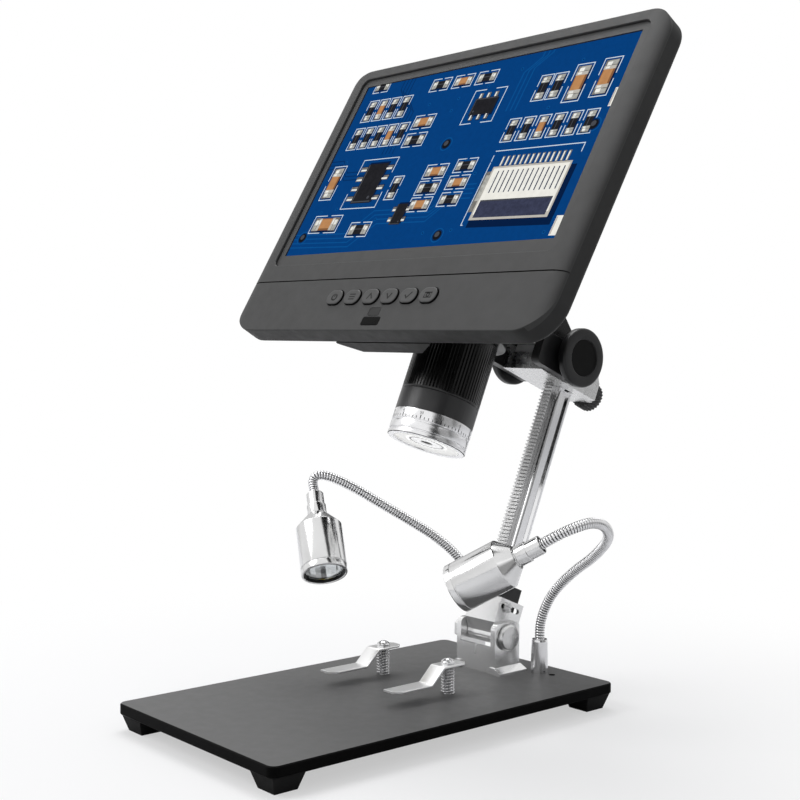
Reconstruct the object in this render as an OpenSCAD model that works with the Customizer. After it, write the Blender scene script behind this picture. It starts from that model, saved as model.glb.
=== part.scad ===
// Digital microscope with a screen, on a tilting rack-and-pinion stand over a stage plate.
// Origin: centre of the stage's top face. +X right, +Y back, +Z up, millimetres.

/* [Stage] */
// Length of the stage plate, front to back
plate_l = 200; // [190:5:240]
// Width of the stage plate
plate_w = 120; // [116:2:150]
// Thickness of the stage plate
plate_t = 5; // [4:0.5:8]
// Corner radius of the stage plate
plate_r = 4; // [3:1:14]
// Height of the rubber feet
foot_h = 7.5; // [5:0.5:10]
// Side of a rubber foot where it meets the plate
foot_top = 16; // [13:1:20]

/* [Stage clips] */
// Distance between the two clip screws
clip_gap = 46.4; // [42:0.2:60]
// Distance of the clip screws behind the middle of the stage
clip_y = 25.4; // [20:0.2:30]
// Width of a clip
clip_w = 9.2; // [8:0.2:12]
// Height of the clip's underside over the stage at its spring
clip_rise = 12.8; // [12.4:0.2:15]
// Gap between the stage and the clip's front part
clip_low = 5.8; // [5:0.2:7]
// Length of a clip from its screw to its tip
clip_reach = 35; // [30:1:42]
// Outer diameter of a clip spring
spring_d = 6.7; // [6.2:0.1:8]
// Wire diameter of a clip spring
spring_wire = 0.8; // [0.7:0.05:0.85]

/* [Stand] */
// Distance of the tilt pivot from the stage's back edge
pivot_inset = 26; // [24:1:34]
// Height of the tilt pivot over the stage
pivot_h = 17.3; // [16.5:0.1:20]
// Backward lean of the column at rest, in degrees
col_tilt = 23; // [15:1:28]
// Outer width of the fixed bracket
bracket_w = 27; // [26:0.5:32]
// Height of the column over the tilt pivot
column_h = 158; // [156:0.5:180]
// Width of the column
column_w = 12; // [11:0.5:13]
// Module of the rack and its pinion
gear_module = 0.6; // [0.58:0.01:0.62]
// Teeth on the pinion
pinion_teeth = 24; // [23:1:25]

/* [Head] */
// Distance of the focus shaft under the column's top
focus_drop = 16; // [15.5:0.5:40]
// Diameter of a focus knob
knob_d = 29.7; // [26:0.1:32]
// Distance of the lens axis in front of the column
lens_fwd = 76.6; // [74:0.1:85]
// Diameter of the lens barrel
barrel_d = 38.4; // [36:0.2:40]
// Diameter of the lens housing behind the screen
housing_d = 46; // [44:0.5:50]
// Ribs round the focus ring
grip_ribs = 72; // [48:4:84]

/* [Screen] */
// Width of the screen's housing
screen_w = 219; // [214:0.5:250]
// Height of the screen's housing
screen_h = 163.9; // [160:0.1:175]
// Lean of the screen behind the column, in degrees
screen_lean = 7.7; // [5:0.1:9]
// Width of the housing beside the display's active area
display_side = 15.15; // [14.5:0.05:22]
// Height of the housing above the display's active area
display_top = 10.3; // [9.5:0.1:18]
// Width of a button
button_w = 11.4; // [10:0.2:12]
// Height of a button
button_h = 8; // [7:0.2:9]

/* [Lamps] */
// Distance between the two lamp sockets
lamp_gap = 46; // [44:1:56]
// Diameter of a gooseneck
neck_d = 5; // [4.6:0.1:5.4]
// Diameter of a lamp head
lamp_d = 22.8; // [20:0.2:24]
// Ribs on each gooseneck
neck_ribs = 96; // [60:2:96]

/* [Hidden] */
$fn = 64;

// Shared clearances and the overrun of cuts
overrun = 1;
run_fit = 0.06;
slide_gap = 0.15;
part_gap = 0.3;
sides = [-1, 1];

// Stage plate and feet
plate_chamfer = 0.5;
foot_low_share = 0.7;
foot_inset = 1.5;
clip_hole_r = 2;
stage_hole_r = 1.6;
stage_hole_x = 31;
stage_hole_inset = 12.4;

// Clip screw, clip and spring
screw_r = 1.5;
screw_head_r = 3.2;
screw_head_h = 2.6;
screw_slot_w = 0.9;
screw_slot_deep = 1.1;
clip_t = 1;
clip_tail = 8.5;
clip_level = 6.2;
clip_slope_run = 7.3;
clip_bevel = 3.4;
clip_bore_r = 1.7;
spring_curls = 9;
spring_curl_rings = 8;
spring_sides = 6;
clip_top = clip_rise + clip_t;
clip_x = clip_gap / 2;

// Fixed bracket
bracket_t = 3;
bracket_l = 17;
bracket_over = 7.2;
bracket_floor_t = 2;
bracket_corner_r = 3;
flange_w = 4.5;
flange_l = 18.8;
flange_h = 3.3;
flange_tip_h = 1.2;
web_t = 1.6;
web_h = 13;
web_slit_w = 1.2;
web_slit_h = 5;
bracket_screw_r = 2;
bracket_screw_head_r = 3.8;
bracket_screw_head_h = 2.2;
bracket_screw_dx = 10;
bracket_screw_dy = 8;
bracket_screw_past = 0.6;
bolt_r = 3;
bolt_head_r = 6.4;
bolt_head_h = 3;
bolt_socket_r = 2.4;
bolt_socket_deep = 1.6;
washer_r = 6;
washer_t = 1;
nut_af_r = 5.77;
nut_t = 4.5;
bracket_in = bracket_w / 2 - bracket_t;
bracket_top = pivot_h + bracket_over;
pivot_y = plate_l / 2 - pivot_inset;

// Tilt clamp and the foot of the column
clamp_gap = 0.3;
clamp_t = 1.6;
clamp_front = 8.5;
clamp_low = 5;
clamp_h = 12.75;
hinge_r = 4.4;
lug_r = 4.4;
slot_l = 13.4;
slot_w = 2.6;
slot_up = 8.9;
slot_mid = -0.3;
clamp_screw_r = 1.2;
clamp_screw_y = -3;
clamp_screw_head_r = 2.5;
clamp_screw_head_h = 1.4;
hem_t = 0.8;
hem_h = 1.6;
clamp_top = clamp_low + clamp_h;
clamp_w = 2 * (bracket_in - clamp_gap);
seat_h = 7.25;
seat_side = 2.2;
seat_front = 2.4;
seat_back = 2.6;
seat_pocket = 5.5;
tongue_w = 14;
tongue_d = 12;
tongue_h = 9;
seat_top = clamp_top + seat_h;
column_foot = seat_top - seat_pocket;

// Column, with its rack
column_front = 6.5;
column_back = 3.5;
column_round = 1.2;
groove_w = 2.2;
groove_deep = 1.3;
groove_y = -0.8;
spine_w = 5;
spine_deep = 1.2;
rack_w = 6;
rack_slot_deep = 1.5;
rack_fit = 0.05;
rack_low = 15;
rack_high = 2.5;
tooth_add = gear_module;
tooth_ded = 1.25 * gear_module;
tooth_pitch = PI * gear_module;
tooth_thin = 0.08;
pressure = 20;
rack_stock = 2.15;
pitch_y = -(column_front + rack_stock + tooth_ded);
pinion_r = gear_module * pinion_teeth / 2;
shaft_y = pitch_y - pinion_r;
rack_foot = column_foot + seat_pocket + rack_low;
rack_head = column_h - rack_high;
cap_h = 2.5;
cap_out = 0.8;

// Carriage, measured from the focus shaft's height
focus_h = column_h - focus_drop;
cheek_t = 2;
cheek_x = 13.3;
block_x = cheek_x - cheek_t;
floor_low = -12;
floor_t = 2;
block_front = 31;
block_back = 13;
block_top = 6.5;
channel_wall = 3;
tooth_room = 0.35;
pinion_room = 0.5;
tab_back = 16;
tab_x = 9;
cheek_lip = -2.8;
wall_in = 1;
cheek_fwd_low = -1.5;
cheek_fwd_top = 22;
cheek_back = 6;
cheek_mid = 30;
cover_t = 5.2;
cover_front = 40;
cover_back = 8;
cover_low = -11.5;
cover_top = 5.5;
cover_round = 3;
bush_wall = 1.4;
shaft_r = 2.5;
head_screw_r = 1.5;
head_screw_head_r = 2.8;
head_screw_head_h = 1.4;
head_screw_deep = 6;
head_screw_spots = [[-46, 8], [-46, 17]];
mount_low = 1;
mount_top = 24;
mount_gap = 0.1;

// Focus knobs and the lock knob
knob_t = 4.5;
knob_hub_r = 10;
knob_hub_t = 2.7;
knob_face_r = 9.4;
knob_face_deep = 0.6;
knob_chamfer = 0.7;
pinion_w = 7;
lock_z = -6.5;
lock_r = 7.7;
lock_t = 8;
lock_neck_r = 3.2;
lock_neck = 3.6;
lock_stud_r = 2;
lock_lobes = 24;
lock_lobe_r = 0.8;
lock_chamfer = 0.8;

// Lens barrel and housing, measured from the focus shaft's height
lens_drop = 1.7;
housing_low = -13;
housing_h = 55;
housing_wall = 2;
housing_cavity_r = 20.5;
housing_cap_step = 1.2;
tube_r = 17;
tube_wall = 2;
tube_low = -63.3;
tube_top = 8.5;
band_low = -56;
band_h = 10.1;
flange_t = 2;
flange_r = 20;
nose_low = -68.3;
nose_lip = 0.9;
nose_lip_w = 0.9;
nose_grooves = [[2.3, 0.5], [6.6, 0.6]];
nose_groove_deep = 0.5;
rib_deep = 0.45;
rib_land_share = 0.45;
led_t = 1.2;
led_count = 8;
led_r = 1.6;
led_h = 0.9;
led_ring_r = 12.5;
led_bore_r = 4;
diffuser_t = 1.2;
diffuser_in_r = 10;
hood_r = 9.4;
hood_wall = 1.5;
hood_hole_r = 3.1;
hood_dome = 0.3;
objective_r = 2.9;
objective_in = 0.7;
objective_body_r = 3.8;
objective_h = 20;
objective_flange_t = 2;
sensor_w = 28;
sensor_t = 1.6;
sensor_chip = 9;
sensor_chip_t = 1.8;
barrel_r = barrel_d / 2;
housing_r = housing_d / 2;

// Screen housing, in its own frame: across, up the face, and back from the face
screen_fwd = 133.1;
screen_low = -35.2;
corner_low_r = 17;
corner_top_r = 14;
bezel_t = 3.2;
bezel_wall = 2;
bezel_side = 3.6;
bezel_round_in = 9;
bezel_round_deep = 2.9;
cover_deep = 9.3;
cover_wall = 1.8;
cover_round_in = 3;
cover_round_deep = 2.6;
round_steps = 6;
rim_side = 4.3;
rim_low = 6.7;
rim_top = 4.5;
rim_r = 4.5;
active_low = 45.2;
active_w = screen_w - 2 * display_side;
active_h = screen_h - active_low - display_top;
frame_t = 0.8;
frame_in = 1.2;
frame_fit = 0.2;
lcd_t = 4.5;
lcd_margin = 4;
bulge_x = 33;
bulge_slope = 12;
bulge_deep = 7.5;
bulge_h = 96;
bulge_top_slope = 16;
bulge_wall = 1.8;
screen_back = bezel_t + cover_deep;
bulge_back = screen_back + bulge_deep;
post_r = 2.9;
post_in = 3.6;
post_top = 12;
post_low = 8;
case_screw_r = 1.4;
case_screw_head_r = 2.6;
case_screw_head_h = 1.8;
case_screw_deep = 7;
board_w = 46;
board_h = 60;
board_low = 22;
board_t = 1.6;
board_up = 6;
chip_w = 14;
chip_t = 1.4;
standoff_r = 2;
standoff_in = 4;
standoff_bore_r = 1;
port_w = 9;
port_h = 3.2;
port_z = 62;
port_deep = 5;
port_pitch = 18;
seam_h = 28.3;
seam_w = 0.5;
seam_deep = 0.4;

// Buttons and windows on the chin
button_up_face = 17.9;
button_first = -32.5;
button_pitch = 13.33;
button_gap = 0.2;
button_proud = 0.9;
button_edge = 0.4;
button_flange = 0.8;
button_flange_t = 0.8;
button_stem_r = 1.6;
button_stem = 0.7;
button_seat = 0.1;
switch_w = 6;
switch_t = 1.5;
switch_cap_r = 1.5;
switch_cap_t = 0.4;
button_travel = 0.7;
keys_t = 1.2;
keys_margin = 7;
keys_h = 12;
lamp_window = [1.4, 9.95];
lamp_window_w = 7.9;
lamp_window_h = 4.1;
ir_window = [1.6, 4.95];
ir_window_w = 12.4;
ir_window_h = 4.4;
window_r = 0.9;
window_flange = 0.3;
window_flange_t = 0.8;
window_fit = 0.1;

// Gooseneck lamps
lamp_inset = 13;
socket_h = 16.5;
socket_low_r = 4.3;
socket_top_r = 3.9;
socket_step_h = 1.6;
socket_mouth_r = 3.3;
socket_mouth_deep = 2.8;
socket_stud_r = 1.6;
neck_in = 2;
neck_bore_share = 0.5;
neck_root_share = 0.86;
neck_sides = 8;
neck_bore_rings = 20;
neck_steps = 12;
lamp_body = 25.5;
lamp_ring_l = 3;
lamp_groove_w = 0.5;
lamp_groove_deep = 0.35;
lamp_shoulder = 0.5;
lamp_shoulder_in = 0.4;
lamp_cone = 5.9;
lamp_cone_r = 5.6;
lamp_waist = 0.7;
lamp_waist_r = 4.2;
lamp_tail_r = 4.8;
lamp_tail_l = 5.4;
lamp_end_r = 4.3;
lamp_end_l = 6.8;
lamp_wall = 1.2;
lamp_bore_l = 14;
lamp_mouth_r = 3.6;
lamp_mouth_deep = 2.7;
lamp_wire_r = 1.5;
ring_in_r = 9;
ring_l = 2;
lamp_lens_t = 1.6;
lamp_lens_in = 0.5;
led_base_t = 2;
led_cup_r = 8.6;
led_dome_r = 2.6;
lamp_x = lamp_gap / 2;
lamp_y = plate_l / 2 - lamp_inset;

// Free routes of the two goosenecks from the sockets' mouths to the lamp heads' tails
neck_right = [[23, 87, 14.5], [23, 87, 20], [23.6, 87.1, 25], [26, 87.4, 31.9], [30, 87.6, 38.8], [37, 87.6, 46.3],
    [47.6, 86.3, 54.4], [59.6, 83.8, 62], [70.7, 79.5, 70.1], [77.5, 73.6, 76], [81, 65.8, 80.9],
    [81.7, 56.6, 82.8], [79.6, 47.2, 81], [75.2, 41.2, 77.6], [69.8, 38, 73.8], [68.3, 37.1, 72.8]];
neck_left = [[-23, 87, 14.5], [-23, 87, 20], [-23.2, 87.2, 25.9], [-24, 86.7, 34.9], [-26.4, 83.7, 45],
    [-30, 76.9, 54.5], [-35, 67.3, 63.3], [-41, 55.6, 71.6], [-48, 43.4, 80], [-55.5, 31.8, 88.2], [-61.5, 22.8, 93.3],
    [-65.6, 17.4, 94.4], [-66.7, 15, 91.6], [-64.8, 14.1, 87.6], [-63.3, 13.5, 85.6], [-62.1, 12.9, 83.8]];

// Profile of a housing's edge, rounded at its back where asked
function edge_profile(r, v0, v1, back_in, back_deep) = concat(
    [[0, v0], [r, v0]],
    back_in > 0
        ? [for (i = [0 : round_steps]) let (a = 90 * i / round_steps)
            [r - back_in + back_in * cos(a), v1 - back_deep + back_deep * sin(a)]]
        : [[r, v1]],
    [[0, v1]]);

function unit(v) = v / norm(v);
function turn_in(n, t) = unit(n - (n * t) * t);

// Point of a curve through p[i - 1] to p[i + 2], at share t between p[i] and p[i + 1]
function curve_point(p, i, t) = let (
    a = p[max(i - 1, 0)], b = p[i], c = p[i + 1], d = p[min(i + 2, len(p) - 1)])
    0.5 * (2 * b + (c - a) * t + (2 * a - 5 * b + 4 * c - d) * t * t + (3 * b - a - 3 * c + d) * t * t * t);

// The first and last spans stay straight, so that each end is square to what it meets
function route_points(p) = concat(
    [p[0]],
    [for (i = [1 : len(p) - 3], k = [0 : neck_steps - 1]) curve_point(p, i, k / neck_steps)],
    [p[len(p) - 2], p[len(p) - 1]]);
function run_lengths(q) = [for (i = 0, s = 0; i < len(q); i = i + 1,
    s = i < len(q) ? s + norm(q[i] - q[i - 1]) : s) s];
function span_at(s, at, lo, hi) = hi - lo < 2 ? lo
    : let (mid = floor((lo + hi) / 2)) s[mid] > at ? span_at(s, at, lo, mid) : span_at(s, at, mid, hi);
function point_at(q, s, at) = let (i = span_at(s, at, 0, len(s) - 1), t = (at - s[i]) / (s[i + 1] - s[i]))
    q[i] + t * (q[i + 1] - q[i]);
function centres_at(q, s, count) = [for (k = [0 : count]) point_at(q, s, s[len(s) - 1] * k / count)];
function directions_of(c) = [for (i = [0 : len(c) - 1])
    unit(c[min(i + 1, len(c) - 1)] - c[max(i - 1, 0)])];
function normals_of(d) = [for (i = 0, n = turn_in([0, 1, 0], d[0]); i < len(d); i = i + 1,
    n = i < len(d) ? turn_in(n, d[i]) : n) n];
function ring_points(c, n, d, r, count) = let (m = cross(d, n))
    [for (j = [0 : count - 1]) let (a = 360 * j / count) c + r * (cos(a) * n + sin(a) * m)];

// Faces of a tube of rings, all numbered from first, outward or inward
function wall_faces(first, rings, count, outward) = [for (i = [0 : rings - 2], j = [0 : count - 1])
    let (a = first + i * count + j, b = first + i * count + (j + 1) % count, c = a + count, d = b + count)
    each outward ? [[a, b, d], [a, d, c]] : [[a, d, b], [a, c, d]]];

// Gooseneck: an unbroken ribbed hose with its bore
module ribbed_neck(route) {
    q = route_points(route);
    s = run_lengths(q);
    outer = centres_at(q, s, 2 * neck_ribs - 1);
    inner = centres_at(q, s, neck_bore_rings - 1);
    outer_d = directions_of(outer);
    inner_d = directions_of(inner);
    outer_n = normals_of(outer_d);
    inner_n = normals_of(inner_d);
    crest = neck_d / 2;
    points = concat(
        [for (i = [0 : len(outer) - 1])
            each ring_points(outer[i], outer_n[i], outer_d[i], i % 2 == 0 ? crest : crest * neck_root_share, neck_sides)],
        [for (i = [0 : len(inner) - 1])
            each ring_points(inner[i], inner_n[i], inner_d[i], crest * neck_bore_share, neck_sides)]);
    inside = len(outer) * neck_sides;
    last_out = inside - neck_sides;
    last_in = len(points) - neck_sides;
    ends = [for (j = [0 : neck_sides - 1]) let (k = (j + 1) % neck_sides) each
        [[inside + j, inside + k, j], [inside + k, k, j],
        [last_out + j, last_out + k, last_in + j], [last_out + k, last_in + k, last_in + j]]];
    polyhedron(points, [for (f = concat(wall_faces(0, len(outer), neck_sides, true),
        wall_faces(inside, len(inner), neck_sides, false), ends)) [f[2], f[1], f[0]]]);
}

// Clip spring: one unbroken wire with its end curls closed up to lie flat
spring_r = (spring_d - spring_wire) / 2;
spring_rings = spring_curls * spring_curl_rings + 1;
spring_pitch = (clip_rise - spring_wire) / spring_curls;
function spring_centre(i) = let (a = 360 * i / spring_curl_rings)
    [spring_r * cos(a), spring_r * sin(a), spring_wire / 2 + spring_pitch * i / spring_curl_rings];
spring_line = [for (i = [0 : spring_rings - 1]) spring_centre(i)];
spring_self_gap = min([for (i = [0 : spring_curl_rings], k = [spring_curl_rings - 2 : spring_curl_rings + 2])
    norm(spring_line[i] - spring_line[i + k]) - spring_wire]);
echo(spring_self_gap = spring_self_gap);

module clip_spring() {
    d = directions_of(spring_line);
    points = [for (i = [0 : spring_rings - 1])
        each ring_points(spring_line[i], turn_in([0, 0, 1], d[i]), d[i], spring_wire / 2, spring_sides)];
    last = len(points) - spring_sides;
    ends = [for (j = [1 : spring_sides - 2]) each [[0, j + 1, j], [last, last + j, last + j + 1]]];
    polyhedron(points, [for (f = concat(wall_faces(0, spring_rings, spring_sides, true), ends)) [f[2], f[1], f[0]]]);
}

// Frames of the moving groups
module in_column() { translate([0, pivot_y, pivot_h]) rotate([-col_tilt, 0, 0]) children(); }
module in_head() { in_column() translate([0, 0, focus_h]) children(); }
module on_lens_axis() { in_head() translate([0, -lens_fwd, -lens_drop]) children(); }
module in_screen() { in_head() translate([0, -screen_fwd, screen_low]) rotate([-screen_lean, 0, 0]) children(); }

// Across, up and back from the screen's face become the screen frame's own axes
module facing() { rotate([90, 0, 0]) mirror([0, 0, 1]) children(); }

// Along X, from x, and along Y, from y
module along_x(x, l, r) { translate([x, 0, 0]) rotate([0, 90, 0]) cylinder(h = l, r = r); }
module along_y(y, l, r) { translate([0, y, 0]) rotate([-90, 0, 0]) cylinder(h = l, r = r); }

// Outline drawn back and up, extruded across x by w
module across(w) { rotate([90, 0, 90]) linear_extrude(w, center = true) children(); }

module round_rect(w, l, r) {
    square([w - 2 * r, l], center = true);
    square([w, l - 2 * r], center = true);
    for (x = sides, y = sides) translate([x * (w / 2 - r), y * (l / 2 - r)]) circle(r);
}

module pill(w, h) {
    square([w - h, h], center = true);
    for (x = sides) translate([x * (w - h) / 2, 0]) circle(h / 2);
}

// Flat plate with rounded corners and a small chamfer all round
module chamfered_slab(w, l, h, r, c) {
    corner = [[0, 0], [r - c, 0], [r, c], [r, h - c], [r - c, h], [0, h]];
    for (x = sides, y = sides)
        translate([x * (w / 2 - r), y * (l / 2 - r), 0]) rotate_extrude() polygon(corner);
    rotate([90, 0, 0]) linear_extrude(l - 2 * r, center = true) slab_section(w, h, c);
    rotate([90, 0, 90]) linear_extrude(w - 2 * r, center = true) slab_section(l, h, c);
}

module slab_section(w, h, c) {
    polygon([[-w / 2 + c, 0], [w / 2 - c, 0], [w / 2, c], [w / 2, h - c], [w / 2 - c, h], [-w / 2 + c, h],
        [-w / 2, h - c], [-w / 2, c]]);
}

// Housing shell blank between two depths, with its own corner radii and its back edge rounded
module soft_slab(w, h, r_low, r_top, v0, v1, back_in = 0, back_deep = 0) {
    low = edge_profile(r_low, v0, v1, back_in, back_deep);
    top = edge_profile(r_top, v0, v1, back_in, back_deep);
    side_l = h - r_low - r_top;
    for (s = sides) {
        translate([s * (w / 2 - r_low), r_low, 0]) rotate_extrude() polygon(low);
        translate([s * (w / 2 - r_top), h - r_top, 0]) rotate_extrude() polygon(top);
        translate([s * (w / 2 - r_low), r_low + side_l / 2, 0]) rotate([90, 0, s > 0 ? 0 : 180])
            linear_extrude(side_l, center = true) polygon(low);
    }
    translate([0, r_low, 0]) rotate([90, 0, -90]) linear_extrude(w - 2 * r_low, center = true) polygon(low);
    translate([0, h - r_top, 0]) rotate([90, 0, 90]) linear_extrude(w - 2 * r_top, center = true) polygon(top);
    translate([-(w / 2 - r_low), r_low, v0]) cube([w - 2 * r_low, side_l, v1 - v0]);
}

module base_plate() {
    color("dimgray") difference() {
        translate([0, 0, -plate_t]) chamfered_slab(plate_w, plate_l, plate_t, plate_r, plate_chamfer);
        for (s = sides) {
            translate([s * clip_x, clip_y, -plate_t - overrun])
                cylinder(h = plate_t + 2 * overrun, r = clip_hole_r);
            translate([s * stage_hole_x, plate_l / 2 - stage_hole_inset, -plate_t - overrun])
                cylinder(h = plate_t + 2 * overrun, r = stage_hole_r);
            translate([s * lamp_x, lamp_y, -plate_t - overrun])
                cylinder(h = plate_t + 2 * overrun, r = socket_stud_r + run_fit);
        }
        at_bracket_screws() {
            translate([0, 0, -overrun]) cylinder(h = plate_t + 2 * overrun, r = bracket_screw_r + run_fit);
            translate([0, 0, -overrun])
                cylinder(h = bracket_screw_head_h + part_gap + overrun, r = bracket_screw_head_r + part_gap);
        }
    }
}

// The four places under the bracket's floor, from the plate's underside up
module at_bracket_screws() {
    for (x = sides, y = sides)
        translate([x * bracket_screw_dx / 2, pivot_y + y * bracket_screw_dy / 2, -plate_t]) children();
}

module rubber_feet() {
    low = foot_top * foot_low_share;
    foot_side = [[-foot_top / 2, 0], [foot_top / 2, 0], [low / 2, -foot_h], [-low / 2, -foot_h]];
    color("black") for (x = sides, y = sides)
        translate([x * (plate_w / 2 - foot_inset - foot_top / 2), y * (plate_l / 2 - foot_inset - foot_top / 2), -plate_t])
            intersection() {
                rotate([90, 0, 0]) linear_extrude(foot_top, center = true) polygon(foot_side);
                rotate([90, 0, 90]) linear_extrude(foot_top, center = true) polygon(foot_side);
            }
}

module clip_screws() {
    color("silver") for (s = sides) translate([s * clip_x, clip_y, 0]) {
        translate([0, 0, -plate_t]) cylinder(h = plate_t, r = clip_hole_r - run_fit);
        cylinder(h = clip_top, r = screw_r);
        translate([0, 0, clip_top]) difference() {
            intersection() {
                cylinder(h = screw_head_h, r = screw_head_r);
                translate([0, 0, -screw_head_r * 0.4]) sphere(r = screw_head_r * 1.25);
            }
            translate([-screw_head_r - overrun, -screw_slot_w / 2, screw_head_h - screw_slot_deep])
                cube([2 * (screw_head_r + overrun), screw_slot_w, screw_slot_deep + overrun]);
            translate([-screw_slot_w / 2, -screw_head_r - overrun, screw_head_h - screw_slot_deep])
                cube([screw_slot_w, 2 * (screw_head_r + overrun), screw_slot_deep + overrun]);
        }
    }
}

// Bent strip: level over the spring, sloping down, then level over the stage with a bevelled tip
module clip(s) {
    bend_y = -clip_level;
    foot_y = bend_y - clip_slope_run;
    lean = clip_t * 0.42;
    strip = [[clip_tail, clip_rise], [clip_tail, clip_top], [bend_y, clip_top], [foot_y, clip_low + clip_t],
        [-clip_reach, clip_low + clip_t], [-clip_reach, clip_low], [foot_y + lean, clip_low],
        [bend_y + lean, clip_rise]];
    color("silver") translate([s * clip_x, clip_y, 0]) difference() {
        across(clip_w) polygon(strip);
        translate([0, 0, clip_rise - overrun]) cylinder(h = clip_t + 2 * overrun, r = clip_bore_r);
        translate([clip_w / 2, -clip_reach, clip_low - overrun]) rotate([0, 0, 45])
            cube([clip_bevel * sqrt(2), clip_bevel * sqrt(2), clip_t + 2 * overrun], center = true);
        translate([-clip_w / 2, clip_tail, clip_rise]) rotate([0, 0, 45])
            cube([clip_bevel, clip_bevel, 2 * clip_t + 2 * overrun], center = true);
        translate([clip_w / 2, clip_tail, clip_rise]) rotate([0, 0, 45])
            cube([clip_bevel, clip_bevel, 2 * clip_t + 2 * overrun], center = true);
    }
}

module stage_clip_spring(s) { color("silver") translate([s * clip_x, clip_y, 0]) clip_spring(); }

// Upright of the fixed bracket, rounded at its upper corners
module bracket_side() {
    r = bracket_corner_r;
    translate([-bracket_l / 2, 0]) square([bracket_l, bracket_top - r]);
    translate([-bracket_l / 2 + r, 0]) square([bracket_l - 2 * r, bracket_top]);
    for (y = sides) translate([y * (bracket_l / 2 - r), bracket_top - r]) circle(r);
}

module column_bracket() {
    color("lightgray") translate([0, pivot_y, 0]) difference() {
        union() {
            for (s = sides) translate([s * (bracket_in + bracket_t / 2), 0, 0]) across(bracket_t) bracket_side();
            translate([-bracket_in - overrun, -bracket_l / 2, 0])
                cube([2 * (bracket_in + overrun), bracket_l, bracket_floor_t]);
            translate([-bracket_in - overrun, -bracket_l / 2, 0])
                cube([2 * (bracket_in + overrun), web_t, web_h]);
            for (s = sides) rotate([90, 0, 0]) linear_extrude(flange_l, center = true)
                polygon([[s * bracket_in, 0], [s * bracket_in, flange_h], [s * bracket_w / 2, flange_h],
                    [s * (bracket_w / 2 + flange_w), flange_tip_h], [s * (bracket_w / 2 + flange_w), 0]]);
        }
        translate([0, 0, pivot_h]) along_x(-bracket_w / 2 - overrun, bracket_w + 2 * overrun, bolt_r + run_fit);
        translate([-web_slit_w / 2, -bracket_l / 2 - overrun, web_h - web_slit_h])
            cube([web_slit_w, web_t + 2 * overrun, web_slit_h + overrun]);
        for (x = sides, y = sides) translate([x * bracket_screw_dx / 2, y * bracket_screw_dy / 2, -overrun])
            cylinder(h = bracket_floor_t + 2 * overrun, r = bracket_screw_r + run_fit);
    }
}

module bracket_screws() {
    color("gray") at_bracket_screws() {
        cylinder(h = bracket_screw_head_h, r1 = bracket_screw_head_r, r2 = bracket_screw_head_r);
        cylinder(h = plate_t + bracket_floor_t + bracket_screw_past, r = bracket_screw_r);
    }
}

module pivot_bolt() {
    color("gray") translate([0, pivot_y, pivot_h]) difference() {
        union() {
            along_x(-bracket_w / 2 - washer_t - nut_t, bracket_w + washer_t + nut_t + overrun, bolt_r);
            along_x(bracket_w / 2, bolt_head_h, bolt_head_r);
        }
        along_x(bracket_w / 2 + bolt_head_h - bolt_socket_deep, bolt_socket_deep + overrun, bolt_socket_r, $fn = 6);
    }
}

module pivot_nut() {
    color("silver") translate([-bracket_w / 2, pivot_y, pivot_h]) {
        difference() {
            along_x(-washer_t, washer_t, washer_r);
            along_x(-washer_t - overrun, washer_t + 2 * overrun, bolt_r + run_fit);
        }
        difference() {
            translate([-washer_t - nut_t, 0, 0]) rotate([0, 90, 0]) cylinder(h = nut_t, r = nut_af_r, $fn = 6);
            along_x(-washer_t - nut_t - overrun, nut_t + 2 * overrun, bolt_r + run_fit);
        }
    }
}

// Conical socket that carries a gooseneck, with a wide mouth for the neck to lean in
module lamp_sockets() {
    color("silver") for (s = sides) translate([s * lamp_x, lamp_y, 0]) {
        difference() {
            rotate_extrude() polygon([[0, 0], [socket_low_r, 0], [socket_low_r, socket_step_h],
                [socket_top_r, socket_h - overrun], [socket_top_r - overrun / 4, socket_h], [0, socket_h]]);
            translate([0, 0, socket_h - socket_mouth_deep])
                cylinder(h = socket_mouth_deep + overrun, r = socket_mouth_r);
        }
        translate([0, 0, -plate_t]) cylinder(h = plate_t + overrun, r = socket_stud_r);
    }
}

// Folded sheet clamp: front leaf rolled round the pivot, two slotted cheeks and a top
module tilt_clamp() {
    half = clamp_w / 2;
    color("lightgray") in_column() difference() {
        union() {
            along_x(-half, clamp_w, hinge_r);
            across(clamp_w) polygon([[-hinge_r, 0], [-clamp_front, clamp_low], [-clamp_front, clamp_top],
                [-clamp_front + clamp_t, clamp_top], [-clamp_front + clamp_t, clamp_low + overrun],
                [-hinge_r + 2 * clamp_t, 0]]);
            translate([-half, -clamp_front, clamp_top - clamp_t]) cube([clamp_w, 2 * clamp_front, clamp_t]);
            for (s = sides) translate([s * (half - clamp_t / 2), 0, 0]) {
                across(clamp_t) polygon([[-clamp_front, clamp_low], [-hinge_r, 0], [hinge_r, 0],
                    [clamp_front, clamp_low], [clamp_front, clamp_top], [-clamp_front, clamp_top]]);
                across(clamp_t) circle(lug_r);
            }
            for (s = sides) translate([s * (half - clamp_t / 2 - hem_t / 2), 0, clamp_low + hem_h / 2])
                cube([clamp_t + hem_t, 2 * clamp_front, hem_h], center = true);
        }
        along_x(-half - overrun, clamp_w + 2 * overrun, bolt_r + run_fit);
        translate([0, slot_mid, clamp_low + slot_up]) across(clamp_w + 2 * overrun) pill(slot_l, slot_w);
        translate([-tongue_w / 2 - slide_gap, -tongue_d / 2 - slide_gap, clamp_low + overrun])
            cube([tongue_w + 2 * slide_gap, tongue_d + 2 * slide_gap, clamp_h]);
    }
}

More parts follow.
